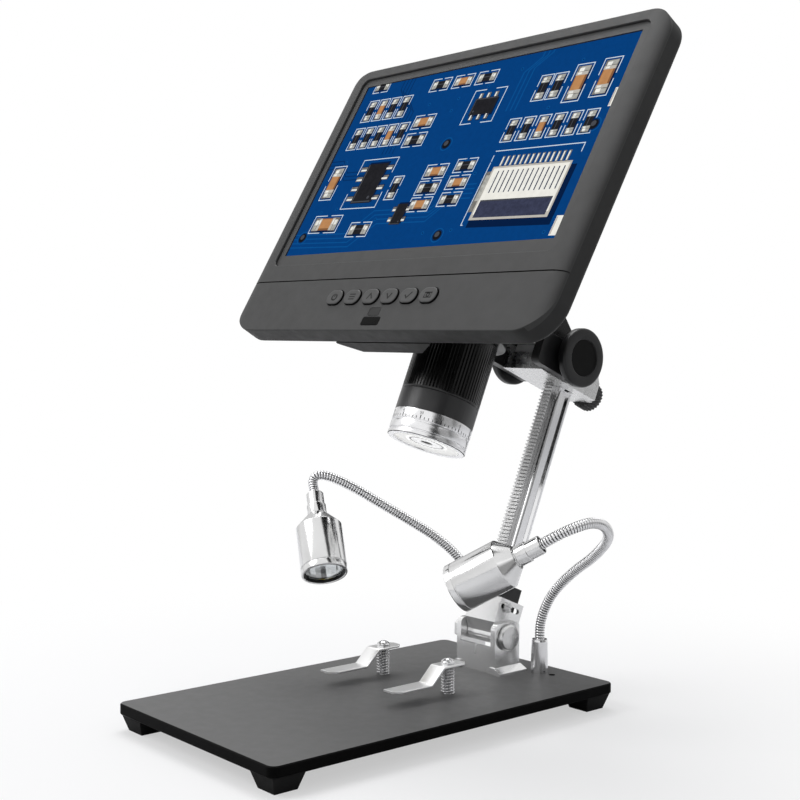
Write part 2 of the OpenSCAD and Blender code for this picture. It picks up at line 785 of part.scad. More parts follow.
module clamp_screw() {
    half = clamp_w / 2;
    color("gray") in_column() translate([0, clamp_screw_y, clamp_low + slot_up]) {
        along_x(-half - clamp_screw_head_h, clamp_w + clamp_screw_head_h, clamp_screw_r);
        difference() {
            along_x(half, clamp_screw_head_h, clamp_screw_head_r);
            translate([half + clamp_screw_head_h / 2, -clamp_screw_head_r - overrun, -hem_t / 2])
                cube([clamp_screw_head_h, 2 * (clamp_screw_head_r + overrun), hem_t]);
        }
        translate([-half - clamp_screw_head_h, 0, 0]) rotate([0, 90, 0])
            cylinder(h = clamp_screw_head_h, r = clamp_screw_head_r, $fn = 6);
    }
}

module column_seat() {
    w = column_w + 2 * seat_side;
    color("black") in_column() difference() {
        union() {
            translate([-w / 2, -column_front - seat_front, clamp_top])
                cube([w, column_front + column_back + seat_front + seat_back, seat_h]);
            translate([-tongue_w / 2, -tongue_d / 2, clamp_top - tongue_h]) cube([tongue_w, tongue_d, tongue_h + overrun]);
        }
        translate([-column_w / 2 - rack_fit, -column_front - rack_fit, column_foot])
            cube([column_w + 2 * rack_fit, column_front + column_back + 2 * rack_fit, seat_pocket + overrun]);
        translate([0, clamp_screw_y, clamp_low + slot_up])
            along_x(-tongue_w / 2 - overrun, tongue_w + 2 * overrun, clamp_screw_r + run_fit);
    }
}

// Section of the column: rounded back, a groove down each side, a slot for the rack and one down the back
module column_section() {
    r = column_round;
    d = column_front + column_back;
    translate([0, (column_back - column_front) / 2]) difference() {
        round_rect(column_w, d, r);
        for (s = sides) translate([s * column_w / 2, groove_y - (column_back - column_front) / 2])
            polygon([[0, -groove_w], [0, groove_w], [-s * groove_deep, groove_w / 2], [-s * groove_deep, -groove_w / 2]]);
        translate([-rack_w / 2 - rack_fit, -d / 2 - overrun]) square([rack_w + 2 * rack_fit, rack_slot_deep + overrun]);
        translate([-spine_w / 2, d / 2 - spine_deep]) square([spine_w, spine_deep + overrun]);
    }
}

module column_rail() {
    color("silver") in_column() translate([0, 0, column_foot])
        linear_extrude(column_h - column_foot) column_section();
}

// Rack teeth face forward; a tooth's centre stands level with the shaft, where the pinion has a gap
module rack() {
    up = floor((rack_head - focus_h) / tooth_pitch) - 1;
    down = floor((focus_h - rack_foot) / tooth_pitch) - 1;
    land = tooth_pitch / 2 - tooth_thin;
    tip = land / 2 - tooth_add * tan(pressure);
    root = land / 2 + tooth_ded * tan(pressure);
    back_y = -column_front + rack_slot_deep;
    teeth = [for (i = [-down : up]) let (z = focus_h + i * tooth_pitch) each
        [[pitch_y + tooth_ded, z - root], [pitch_y - tooth_add, z - tip],
        [pitch_y - tooth_add, z + tip], [pitch_y + tooth_ded, z + root]]];
    color("goldenrod") in_column() across(rack_w)
        polygon(concat([[back_y, rack_foot], [pitch_y + tooth_ded, rack_foot]], teeth,
            [[pitch_y + tooth_ded, rack_head], [back_y, rack_head]]));
}

module column_cap() {
    color("black") in_column() translate([0, (column_back - column_front) / 2, column_h])
        chamfered_slab(column_w + 2 * cap_out, column_front + column_back + 2 * cap_out, cap_h,
            column_round + cap_out, cap_out);
}

// Chrome U bracket under and beside the carriage, its cheeks running forward to the head
module carriage_bracket() {
    color("lightgray") in_head() difference() {
        union() {
            for (s = sides) translate([s * (cheek_x - cheek_t / 2), 0, 0]) across(cheek_t)
                polygon([[-block_front, floor_low], [-block_front, cheek_lip], [-block_front - overrun, cheek_fwd_low],
                    [-mount_rear(), cheek_fwd_low], [-mount_rear(), cheek_fwd_top],
                    [-cheek_mid, cheek_fwd_top], [-cheek_back, block_top], [cheek_back, block_top],
                    [block_back, cheek_lip], [block_back, floor_low]]);
            translate([-cheek_x, -block_front, floor_low]) cube([2 * cheek_x, block_front + block_back, floor_t]);
            translate([-block_x - overrun, -block_front + wall_in, floor_low])
                cube([2 * (block_x + overrun), cheek_t, cheek_lip - floor_low]);
            translate([-tab_x, -overrun, floor_low]) cube([2 * tab_x, tab_back + overrun, floor_t]);
        }
        column_channel(floor_low);
        translate([0, shaft_y, 0]) along_x(-cheek_x - overrun, 2 * (cheek_x + overrun), shaft_r + bush_wall + run_fit);
        head_screw_holes();
    }
}

// How far in front of the column the cheeks end, just clear of the lens housing
function mount_rear() = lens_fwd - sqrt(housing_r * housing_r - block_x * block_x) - part_gap;

module head_screw_holes() {
    for (p = head_screw_spots) translate([0, p[0], p[1]])
        along_x(-cheek_x - overrun, 2 * (cheek_x + overrun), head_screw_r + run_fit);
}

// Room for the column and its rack through whatever slides on them
module column_channel(low) {
    translate([-column_w / 2 - slide_gap, -column_front - slide_gap, low - overrun])
        cube([column_w + 2 * slide_gap, column_front + column_back + 2 * slide_gap, focus_h]);
    translate([-rack_w / 2 - slide_gap, pitch_y - tooth_add - tooth_room, low - overrun])
        cube([rack_w + 2 * slide_gap, column_front, focus_h]);
}

module carriage_block() {
    color("black") in_head() difference() {
        translate([-block_x, -block_front + wall_in + cheek_t, floor_low + floor_t])
            cube([2 * block_x, block_front + block_back - wall_in - cheek_t, block_top - floor_low - floor_t]);
        column_channel(floor_low);
        translate([0, shaft_y, 0]) {
            along_x(-block_x - overrun, 2 * (block_x + overrun), shaft_r + part_gap);
            along_x(-pinion_w / 2 - part_gap, pinion_w + 2 * part_gap, pinion_r + tooth_add + pinion_room);
        }
        translate([0, 0, lock_z]) along_y(0, block_back + overrun, lock_stud_r + run_fit);
    }
}

// Black covers outside the cheeks that hold the shaft's bushes
module side_covers() {
    l = cover_front - cover_back;
    h = cover_top - cover_low;
    color("black") in_head() difference() {
        for (s = sides) translate([s * (cheek_x + cover_t / 2), -(cover_front + cover_back) / 2, (cover_top + cover_low) / 2])
            across(cover_t) round_rect(l, h, cover_round);
        translate([0, shaft_y, 0]) along_x(-cheek_x - cover_t - overrun, 2 * (cheek_x + cover_t + overrun),
            shaft_r + bush_wall + run_fit);
    }
}

module shaft_bushes() {
    color("goldenrod") in_head() translate([0, shaft_y, 0]) for (s = sides) difference() {
        along_x(s > 0 ? block_x : -cheek_x - cover_t, cheek_t + cover_t, shaft_r + bush_wall);
        along_x(s > 0 ? block_x - overrun : -cheek_x - cover_t - overrun, cheek_t + cover_t + 2 * overrun,
            shaft_r + run_fit);
    }
}

// Block between the cheeks that carries the lens housing
module head_mount() {
    color("black") in_head() difference() {
        translate([-block_x + mount_gap, -lens_fwd + housing_r / 2, mount_low])
            cube([2 * (block_x - mount_gap), lens_fwd - housing_r / 2 - block_front, mount_top - mount_low]);
        translate([0, -lens_fwd, mount_low - overrun])
            cylinder(h = mount_top - mount_low + 2 * overrun, r = housing_r + mount_gap);
        for (s = sides, p = head_screw_spots) translate([0, p[0], p[1]])
            along_x(s > 0 ? block_x - head_screw_deep : -block_x - overrun, head_screw_deep + overrun,
                head_screw_r + run_fit);
    }
}

module head_screws() {
    color("gray") in_head() for (p = head_screw_spots, s = sides) translate([0, p[0], p[1]]) difference() {
        union() {
            along_x(s > 0 ? block_x - head_screw_deep + overrun : -cheek_x, cheek_t + head_screw_deep - overrun,
                head_screw_r);
            along_x(s > 0 ? cheek_x : -cheek_x - head_screw_head_h, head_screw_head_h, head_screw_head_r);
        }
        translate([s * (cheek_x + head_screw_head_h), 0, 0])
            cube([head_screw_head_h, screw_slot_w, 2 * head_screw_r], center = true);
    }
}

// Housing that joins the lens barrel to the back of the screen
module lens_housing() {
    cut = 2 * screen_w;
    color("black") difference() {
        on_lens_axis() union() {
            translate([0, 0, housing_low]) cylinder(h = housing_h - housing_cap_step, r = housing_r);
            translate([0, 0, housing_low + housing_h - housing_cap_step])
                cylinder(h = housing_cap_step, r1 = housing_r, r2 = housing_r - housing_cap_step);
            translate([-housing_r, -screen_fwd + lens_fwd, housing_low])
                cube([2 * housing_r, screen_fwd - lens_fwd, housing_h]);
        }
        on_lens_axis() {
            translate([0, 0, housing_low + housing_wall])
                cylinder(h = housing_h - 2 * housing_wall, r = housing_cavity_r);
            translate([0, 0, housing_low - overrun]) cylinder(h = housing_h / 2, r = tube_r + run_fit);
        }
        in_screen() facing() translate([-cut / 2, -cut / 2, bulge_back - cut]) cube([cut, cut, cut]);
    }
}

module lens_tube() {
    color("dimgray") on_lens_axis() difference() {
        union() {
            translate([0, 0, tube_low]) cylinder(h = tube_top - tube_low, r = tube_r);
            translate([0, 0, band_low]) cylinder(h = band_h, r = barrel_r);
            translate([0, 0, housing_low + housing_wall]) cylinder(h = flange_t, r = flange_r);
        }
        translate([0, 0, tube_low - overrun])
            cylinder(h = tube_top - tube_low + 2 * overrun, r = tube_r - tube_wall);
    }
}

// Finely ribbed ring that the fingers turn, running on the lens tube
module focus_ring() {
    low = band_low + band_h + part_gap;
    high = housing_low - part_gap;
    step = 360 / grip_ribs;
    root = barrel_r - rib_deep;
    outline = [for (i = [0 : grip_ribs - 1]) each
        [for (k = [[0, barrel_r], [rib_land_share, barrel_r], [0.6, root], [0.85, root]])
            let (a = step * (i + k[0])) [k[1] * cos(a), k[1] * sin(a)]]];
    color("black") on_lens_axis() translate([0, 0, low]) difference() {
        linear_extrude(high - low) polygon(outline);
        translate([0, 0, -overrun]) cylinder(h = high - low + 2 * overrun, r = tube_r + run_fit);
    }
}

// Chrome end of the barrel: scale ring, two grooves and the rim that holds the diffuser
module lens_nose() {
    color("silver") on_lens_axis() translate([0, 0, nose_low]) difference() {
        cylinder(h = band_low - nose_low, r = barrel_r);
        translate([0, 0, nose_lip]) cylinder(h = band_low - nose_low, r = tube_r + run_fit);
        translate([0, 0, -overrun]) cylinder(h = nose_lip + 2 * overrun, r = tube_r - nose_lip_w);
        for (g = nose_grooves) translate([0, 0, g[0]]) difference() {
            cylinder(h = g[1], r = barrel_r + overrun);
            translate([0, 0, -overrun]) cylinder(h = g[1] + 2 * overrun, r = barrel_r - nose_groove_deep);
        }
    }
}

module led_board() {
    color("white") on_lens_axis() translate([0, 0, tube_low - led_t]) {
        difference() {
            cylinder(h = led_t, r = tube_r - slide_gap);
            translate([0, 0, -overrun]) cylinder(h = led_t + 2 * overrun, r = led_bore_r);
        }
        for (i = [0 : led_count - 1]) rotate([0, 0, 360 * i / led_count])
            translate([led_ring_r, 0, -led_h]) cylinder(h = led_h, r = led_r);
    }
}

module diffuser() {
    color("white") on_lens_axis() translate([0, 0, nose_low + nose_lip]) difference() {
        cylinder(h = diffuser_t, r = tube_r - slide_gap);
        translate([0, 0, -overrun]) cylinder(h = diffuser_t + 2 * overrun, r = diffuser_in_r);
    }
}

// White hood round the objective, standing on the lamp board
module lens_hood() {
    top = tube_low - led_t - nose_low - nose_lip;
    color("white") on_lens_axis() translate([0, 0, nose_low + nose_lip]) difference() {
        cylinder(h = top, r = hood_r);
        translate([0, 0, diffuser_t]) cylinder(h = top, r = hood_r - hood_wall);
        translate([0, 0, -overrun]) cylinder(h = top, r = hood_hole_r);
    }
}

module objective_lens() {
    front = nose_low + nose_lip + hood_dome;
    color("darkslategray") on_lens_axis() {
        translate([0, 0, front]) cylinder(h = objective_in + diffuser_t, r = objective_r);
        translate([0, 0, front + objective_in + diffuser_t]) cylinder(h = objective_h, r = objective_body_r);
        translate([0, 0, front + objective_h])
            cylinder(h = objective_flange_t, r = tube_r - tube_wall - rack_fit);
    }
}

module sensor_board() {
    color("green") on_lens_axis() translate([0, 0, tube_top]) {
        translate([-sensor_w / 2, -sensor_w / 2, 0]) cube([sensor_w, sensor_w, sensor_t]);
        translate([-sensor_chip / 2, -sensor_chip / 2, -sensor_chip_t]) cube([sensor_chip, sensor_chip, sensor_chip_t]);
    }
}

// Rim of the recess round the display, and the places on the chin
rim_w = active_w + 2 * rim_side;
rim_z = active_low - rim_low;
rim_h = active_h + rim_low + rim_top;
module at_rim(margin) {
    translate([0, rim_z + rim_h / 2]) round_rect(rim_w + 2 * margin, rim_h + 2 * margin, rim_r + margin);
}
module at_button(i) { translate([button_first + i * button_pitch, button_up_face]) children(); }

// Section across the bezel: its face rolls back at both sides and runs straight out above and below
module bezel_section() {
    polygon(concat(
        [for (i = [0 : round_steps]) let (a = 90 * i / round_steps)
            [screen_w / 2 - bezel_round_in + bezel_round_in * sin(a), bezel_round_deep - bezel_round_deep * cos(a)]],
        [[screen_w / 2, bezel_t], [-screen_w / 2, bezel_t]],
        [for (i = [round_steps : -1 : 0]) let (a = 90 * i / round_steps)
            [-screen_w / 2 + bezel_round_in - bezel_round_in * sin(a), bezel_round_deep - bezel_round_deep * cos(a)]]));
}

module front_bezel() {
    color("dimgray") in_screen() facing() difference() {
        intersection() {
            soft_slab(screen_w, screen_h, corner_low_r, corner_top_r, 0, bezel_t);
            translate([0, screen_h, 0]) rotate([90, 0, 0]) linear_extrude(screen_h) bezel_section();
        }
        translate([0, bezel_side, 0]) soft_slab(screen_w - 2 * bezel_side, screen_h - 2 * bezel_side,
            corner_low_r - bezel_side, corner_top_r - bezel_side, bezel_wall, bezel_t + overrun);
        translate([0, 0, -overrun]) linear_extrude(bezel_t) at_rim(0);
        for (i = [0 : 5]) translate([0, 0, -overrun]) linear_extrude(bezel_t)
            at_button(i) pill(button_w + 2 * button_gap, button_h + 2 * button_gap);
        translate([0, 0, -overrun]) linear_extrude(bezel_wall + overrun + window_fit) windows(window_fit);
        translate([-screen_w / 2 + bezel_round_in, seam_h, -overrun])
            cube([screen_w - 2 * bezel_round_in, seam_w, overrun + seam_deep]);
    }
}

// Raised middle of the back, sloping at its sides and top
module bulge(out, low, deep) {
    x = bulge_x - out;
    top = bulge_h - out;
    intersection() {
        translate([0, top, 0]) rotate([90, 0, 0]) linear_extrude(top - low)
            polygon([[-x, screen_back - deep], [x, screen_back - deep], [x, screen_back - out],
                [x - bulge_slope, bulge_back - out], [-x + bulge_slope, bulge_back - out], [-x, screen_back - out]]);
        rotate([90, 0, 90]) linear_extrude(2 * x, center = true)
            polygon([[low, screen_back - deep], [top, screen_back - deep], [top, screen_back - out],
                [top - bulge_top_slope, bulge_back - out], [low, bulge_back - out]]);
    }
}

module at_case_screws() {
    for (s = sides) {
        translate([s * (screen_w / 2 - bezel_side - post_low), bezel_side + post_low]) children();
        translate([s * (screen_w / 2 - bezel_side - post_in), screen_h - bezel_side - post_top]) children();
    }
}

module back_cover() {
    inner_w = screen_w - 2 * bezel_side;
    inner_h = screen_h - 2 * bezel_side;
    color("dimgray") in_screen() facing() difference() {
        union() {
            difference() {
                union() {
                    soft_slab(screen_w, screen_h, corner_low_r, corner_top_r, bezel_t, screen_back, cover_round_in,
                        cover_round_deep);
                    bulge(0, 0, overrun);
                }
                translate([0, bezel_side, 0]) soft_slab(inner_w, inner_h, corner_low_r - bezel_side,
                    corner_top_r - bezel_side, bezel_t - overrun, screen_back - cover_wall);
                bulge(bulge_wall, bezel_side, cover_deep);
            }
            at_case_screws() translate([0, 0, bezel_t]) cylinder(h = cover_deep - cover_wall / 2, r = post_r);
            at_standoffs() translate([0, 0, board_back()]) cylinder(h = bulge_back - bulge_wall - board_back() + overrun / 2,
                r = standoff_r);
        }
        at_case_screws() {
            translate([0, 0, screen_back - case_screw_head_h - part_gap])
                cylinder(h = case_screw_head_h + part_gap + overrun, r = case_screw_head_r + part_gap);
            translate([0, 0, bezel_t - overrun]) cylinder(h = cover_deep + 2 * overrun, r = case_screw_r + run_fit);
        }
        for (k = [0, 1]) translate([bulge_x - bulge_slope, port_z + k * port_pitch, screen_back + port_h / 2])
            rotate([0, 90, 0]) linear_extrude(2 * bulge_slope) rotate(90) pill(port_w, port_h);
    }
}

// The main board stands on four posts inside the raised middle
function board_back() = bulge_back - bulge_wall - board_up;
module at_standoffs() {
    for (x = sides, z = [board_low + standoff_in, board_low + board_h - standoff_in])
        translate([x * (board_w / 2 - standoff_in), z]) children();
}

module main_board() {
    color("green") in_screen() facing() difference() {
        union() {
            translate([-board_w / 2, board_low, board_back() - board_t]) cube([board_w, board_h, board_t]);
            translate([-chip_w / 2, board_low + board_h / 2 - chip_w / 2, board_back()]) cube([chip_w, chip_w, chip_t]);
        }
        at_standoffs() translate([0, 0, board_back() - board_t - overrun])
            cylinder(h = board_t + 2 * overrun, r = standoff_bore_r);
    }
}

module lcd_panel() {
    color("lightblue") in_screen() facing()
        translate([-active_w / 2 - lcd_margin, active_low - lcd_margin, frame_in + frame_t])
            cube([active_w + 2 * lcd_margin, active_h + 2 * lcd_margin, lcd_t]);
}

// Black frame in the recess, between the bezel's rim and the active area
module screen_frame() {
    color("black") in_screen() facing() translate([0, 0, frame_in]) linear_extrude(frame_t) difference() {
        at_rim(-frame_fit);
        translate([-active_w / 2, active_low]) square([active_w, active_h]);
    }
}

// Board under the chin with a small switch behind each button
function keys_front() = bezel_wall + button_seat + button_flange_t + button_stem + button_travel + switch_t;
module button_board() {
    w = 5 * button_pitch + 2 * keys_margin;
    color("green") in_screen() facing() {
        translate([button_first - keys_margin, button_up_face - keys_h / 2, keys_front()]) cube([w, keys_h, keys_t]);
        for (i = [0 : 5]) at_button(i) {
            translate([-switch_w / 2, -switch_w / 2, keys_front() - switch_t + switch_cap_t])
                cube([switch_w, switch_w, switch_t - switch_cap_t]);
            translate([0, 0, keys_front() - switch_t]) cylinder(h = switch_t, r = switch_cap_r);
        }
    }
}

// Indicator window and infra-red window, flush in the chin, each with a flange behind it
module windows(margin) {
    translate(lamp_window) round_rect(lamp_window_w + 2 * margin, lamp_window_h + 2 * margin, window_r);
    translate(ir_window) round_rect(ir_window_w + 2 * margin, ir_window_h + 2 * margin, window_r);
}

module chin_windows() {
    color("black") in_screen() facing() {
        linear_extrude(bezel_wall) windows(0);
        translate([0, 0, bezel_wall]) linear_extrude(window_flange_t) intersection() {
            windows(window_flange);
            translate([-screen_w / 2, bezel_side + window_fit]) square([screen_w, seam_h]);
        }
    }
}

module housing_screws() {
    color("gray") in_screen() facing() at_case_screws() translate([0, 0, screen_back - case_screw_head_h]) {
        cylinder(h = case_screw_head_h, r = case_screw_head_r);
        translate([0, 0, -case_screw_deep + case_screw_head_h]) cylinder(h = case_screw_deep, r = case_screw_r);
    }
}

// Oval button: a cap through the chin, a flange behind it and a stem towards its switch
module button(i) {
    color("gray") in_screen() facing() at_button(i) {
        translate([0, 0, -button_proud + button_edge]) linear_extrude(button_proud - button_edge + bezel_wall + button_seat)
            pill(button_w, button_h);
        translate([0, 0, -button_proud]) linear_extrude(button_edge) pill(button_w - 2 * button_edge, button_h - 2 * button_edge);
        translate([0, 0, bezel_wall + button_seat]) linear_extrude(button_flange_t)
            pill(button_w + 2 * button_flange, button_h + 2 * button_flange);
        translate([0, 0, bezel_wall + button_seat + button_flange_t]) cylinder(h = button_stem, r = button_stem_r);
    }
}

// Turned knob: hub inside, rim outside with a sunk round face
module focus_knobs() {
    hub = cheek_x + cover_t + part_gap;
    r = knob_d / 2;
    color("black") in_head() translate([0, shaft_y, 0]) for (s = sides) rotate([0, s * 90, 0]) translate([0, 0, hub])
        difference() {
            rotate_extrude() polygon([[0, 0], [knob_hub_r, 0], [knob_hub_r, knob_hub_t], [r - knob_chamfer, knob_hub_t],
                [r, knob_hub_t + knob_chamfer], [r, knob_hub_t + knob_t - knob_chamfer],
                [r - knob_chamfer, knob_hub_t + knob_t], [knob_face_r, knob_hub_t + knob_t],
                [knob_face_r, knob_hub_t + knob_t - knob_face_deep], [0, knob_hub_t + knob_t - knob_face_deep]]);
            translate([0, 0, -overrun]) cylinder(h = knob_hub_t + overrun, r = shaft_r + run_fit / 2);
        }
}

// Points of one pinion flank, from its root to its tip, on the involute of the base circle
base_r = pinion_r * cos(pressure);
function involute_angle(r) = let (c = min(base_r / r, 1)) tan(acos(c)) * 180 / PI - acos(c);
half_tooth = 90 / pinion_teeth - tooth_thin / pinion_r * 90 / PI + involute_angle(pinion_r);
flank_steps = 4;
module pinion() {
    root = pinion_r - tooth_ded;
    tip = pinion_r + tooth_add;
    start = max(base_r, root);
    flank = [for (k = [0 : flank_steps]) let (r = start + (tip - start) * k / flank_steps) [r, half_tooth - involute_angle(r)]];
    outline = [for (i = [0 : pinion_teeth - 1]) let (mid = 360 * (i + 0.5) / pinion_teeth) each concat(
        [[root, mid - half_tooth]], [for (p = flank) [p[0], mid - p[1]]],
        [for (k = [flank_steps : -1 : 0]) [flank[k][0], mid + flank[k][1]]], [[root, mid + half_tooth]])];
    linear_extrude(pinion_w, center = true)
        polygon([for (p = outline) [p[0] * cos(p[1]), p[0] * sin(p[1])]]);
}

module pinion_shaft() {
    reach = cheek_x + cover_t + part_gap + knob_hub_t - part_gap;
    color("silver") in_head() translate([0, shaft_y, 0]) {
        rotate([90, 0, 90]) pinion();
        along_x(-reach, 2 * reach, shaft_r);
    }
}

// Lock knob behind the column: a scalloped head on a stud that bears on the column's back
module lock_knob() {
    stud = column_back + slide_gap;
    seat = block_back + part_gap;
    color("black") in_head() translate([0, 0, lock_z]) {
        along_y(stud, seat - stud + overrun, lock_stud_r);
        along_y(seat, lock_neck + overrun, lock_neck_r);
        difference() {
            translate([0, seat + lock_neck, 0]) rotate([-90, 0, 0])
                rotate_extrude() polygon([[0, 0], [lock_r, 0], [lock_r, lock_t - lock_chamfer],
                    [lock_r - lock_chamfer, lock_t], [0, lock_t]]);
            for (i = [0 : lock_lobes - 1]) rotate([0, 360 * i / lock_lobes, 0]) translate([lock_r + lock_lobe_r / 2, 0, 0])
                along_y(seat + lock_neck - overrun, lock_t + 2 * overrun, lock_lobe_r, $fn = 16);
        }
    }
}

// A lamp's frame: its tail's pivot at the neck's end, its axis along the neck's last span, front forward
lamp_l = lamp_body + lamp_shoulder + lamp_cone + lamp_waist + lamp_tail_l + lamp_end_l;
module at_lamp(route) {
    n = len(route);
    d = unit(route[n - 1] - route[n - 2]);
    translate(route[n - 1]) rotate([0, 0, atan2(d[1], d[0])]) rotate([0, acos(d[2]), 0])
        translate([0, 0, lamp_l - neck_in]) mirror([0, 0, 1]) children();
}

module lamp_shell(route) {
    r = lamp_d / 2;
    body = lamp_body;
    cone = body + lamp_shoulder;
    waist = cone + lamp_cone;
    tail = waist + lamp_waist;
    end = tail + lamp_tail_l;
    color("silver") at_lamp(route) difference() {
        rotate_extrude() polygon([[0, 0], [r - lamp_groove_deep, 0], [r, lamp_groove_deep], [r, lamp_ring_l],
            [r - lamp_groove_deep, lamp_ring_l], [r - lamp_groove_deep, lamp_ring_l + lamp_groove_w],
            [r, lamp_ring_l + lamp_groove_w], [r, body], [r - lamp_shoulder_in, cone], [lamp_cone_r, waist],
            [lamp_waist_r, waist], [lamp_waist_r, tail], [lamp_tail_r, tail], [lamp_tail_r, end], [lamp_end_r, end],
            [lamp_end_r, lamp_l - lamp_groove_deep], [lamp_end_r - lamp_groove_deep, lamp_l], [0, lamp_l]]);
        translate([0, 0, -overrun]) cylinder(h = lamp_bore_l + overrun, r = r - lamp_wall);
        translate([0, 0, lamp_l - lamp_mouth_deep]) cylinder(h = lamp_mouth_deep + overrun, r = lamp_mouth_r);
        translate([0, 0, lamp_bore_l - overrun]) cylinder(h = lamp_l, r = lamp_wire_r);
    }
}

module lamp_ring(route) {
    color("black") at_lamp(route) translate([0, 0, lamp_lens_in]) difference() {
        cylinder(h = ring_l, r = lamp_d / 2 - lamp_wall - slide_gap);
        translate([0, 0, -overrun]) cylinder(h = ring_l + 2 * overrun, r = ring_in_r);
    }
}

module lamp_lens(route) {
    color("lightcyan") at_lamp(route) translate([0, 0, lamp_lens_in + ring_l])
        cylinder(h = lamp_lens_t, r = lamp_d / 2 - lamp_wall - slide_gap);
}

// Lamp engine: a reflector cup on its base with the emitter's dome in the middle
module lamp_led(route) {
    cup = lamp_lens_in + ring_l + lamp_lens_t;
    color("gold") at_lamp(route) {
        difference() {
            translate([0, 0, cup]) cylinder(h = lamp_bore_l - cup, r = lamp_d / 2 - lamp_wall - slide_gap);
            translate([0, 0, cup - overrun]) cylinder(h = lamp_bore_l - cup - led_base_t + overrun,
                r1 = led_cup_r, r2 = led_dome_r + overrun);
        }
        translate([0, 0, lamp_bore_l - led_base_t - led_dome_r]) cylinder(h = led_dome_r + overrun, r = led_dome_r);
    }
}

module gooseneck(route) { color("silver") ribbed_neck(route); }

base_plate();
rubber_feet();
clip_screws();
column_bracket();
bracket_screws();
pivot_bolt();
pivot_nut();
lamp_sockets();
clip(1);  // clip_right
clip(-1);  // clip_left
stage_clip_spring(1);  // clip_spring_right
stage_clip_spring(-1);  // clip_spring_left
tilt_clamp();
clamp_screw();
column_seat();
column_rail();
rack();
column_cap();
carriage_bracket();
carriage_block();
side_covers();
shaft_bushes();
head_mount();
head_screws();
lens_housing();
lens_tube();
focus_ring();
lens_nose();
led_board();
diffuser();
lens_hood();
objective_lens();
sensor_board();
front_bezel();
back_cover();
lcd_panel();
screen_frame();
main_board();
button_board();
chin_windows();
housing_screws();
button(0);  // button_power
button(1);  // button_menu
button(2);  // button_up
button(3);  // button_down
button(4);  // button_ok
button(5);  // button_capture
focus_knobs();
pinion_shaft();
lock_knob();
gooseneck(neck_right);  // lamp_neck_right
lamp_shell(neck_right);  // lamp_shell_right
lamp_ring(neck_right);  // lamp_ring_right
lamp_lens(neck_right);  // lamp_lens_right
lamp_led(neck_right);  // lamp_led_right
gooseneck(neck_left);  // lamp_neck_left
lamp_shell(neck_left);  // lamp_shell_left
lamp_ring(neck_left);  // lamp_ring_left
lamp_lens(neck_left);  // lamp_lens_left
lamp_led(neck_left);  // lamp_led_left
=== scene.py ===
from math import acos, atan2, cos, pi, radians, sin, tan
import random

import bmesh
import bpy
from mathutils import Matrix, Vector


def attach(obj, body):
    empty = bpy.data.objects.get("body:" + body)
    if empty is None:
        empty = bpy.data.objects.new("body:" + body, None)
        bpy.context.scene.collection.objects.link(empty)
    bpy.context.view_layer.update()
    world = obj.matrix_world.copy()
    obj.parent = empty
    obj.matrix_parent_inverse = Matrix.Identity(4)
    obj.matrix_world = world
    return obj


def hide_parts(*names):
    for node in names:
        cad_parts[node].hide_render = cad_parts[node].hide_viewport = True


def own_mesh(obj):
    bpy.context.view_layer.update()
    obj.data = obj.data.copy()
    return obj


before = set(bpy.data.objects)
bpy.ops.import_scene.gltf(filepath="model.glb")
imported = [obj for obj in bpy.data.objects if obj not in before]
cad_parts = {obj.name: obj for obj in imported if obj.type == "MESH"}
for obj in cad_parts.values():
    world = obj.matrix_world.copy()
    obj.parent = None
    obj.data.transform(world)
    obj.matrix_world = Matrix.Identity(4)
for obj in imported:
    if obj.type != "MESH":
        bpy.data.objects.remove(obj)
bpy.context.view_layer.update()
MM = 0.001
MICRON = 1e-6
TAU = 2 * pi
QUARTER = radians(90)


def shift(x, y, z):
    return Matrix.Translation((x, y, z))


def turn(degrees, axis):
    return Matrix.Rotation(radians(degrees), 4, axis)


# The part's own frames, in millimetres
PIVOT = shift(0, 74, 17.3)
HEAD = PIVOT @ turn(-23, "X") @ shift(0, 0, 142)
LENS = HEAD @ shift(0, -76.6, -1.7)
FACING = Matrix(((1, 0, 0, 0), (0, 0, 1, 0), (0, 1, 0, 0), (0, 0, 0, 1)))
SCREEN = HEAD @ shift(0, -133.1, -35.2) @ turn(-7.7, "X") @ FACING
WORLD = Matrix.Identity(4)

scene = bpy.context.scene
scene.view_settings.view_transform = "Standard"


def add_object(name, data):
    obj = bpy.data.objects.new(name, data)
    scene.collection.objects.link(obj)
    return obj


# ---- camera ----
FOCAL, SENSOR = 61.011, 36
YAW, PITCH, ROLL = 49.2744, 2.81684, 0.306502
CAMERA_AT = (0.4786855, -0.3968295, 0.1663344)


def make_camera():
    """Pinhole camera at the photograph's viewing angle."""
    data = bpy.data.cameras.new("camera")
    data.lens = FOCAL
    data.sensor_width = SENSOR
    data.clip_start = 0.01
    data.clip_end = 60
    scene.camera = add_object("camera", data)
    scene.camera.matrix_world = shift(*CAMERA_AT) @ turn(YAW, "Z") @ turn(90 - PITCH, "X") @ turn(ROLL, "Z")


make_camera()


# ---- colours and node helpers ----
def srgb(*levels):
    """Linear colour from three levels of 255, or from one for a grey."""
    shares = [level / 255 for level in (levels * 3 if len(levels) == 1 else levels)]
    return (*(c / 12.92 if c <= 0.04045 else ((c + 0.055) / 1.055) ** 2.4 for c in shares), 1.0)


def grey(level):
    return (level, level, level, 1)


def shade(color, factor):
    return (color[0] * factor, color[1] * factor, color[2] * factor, 1.0)


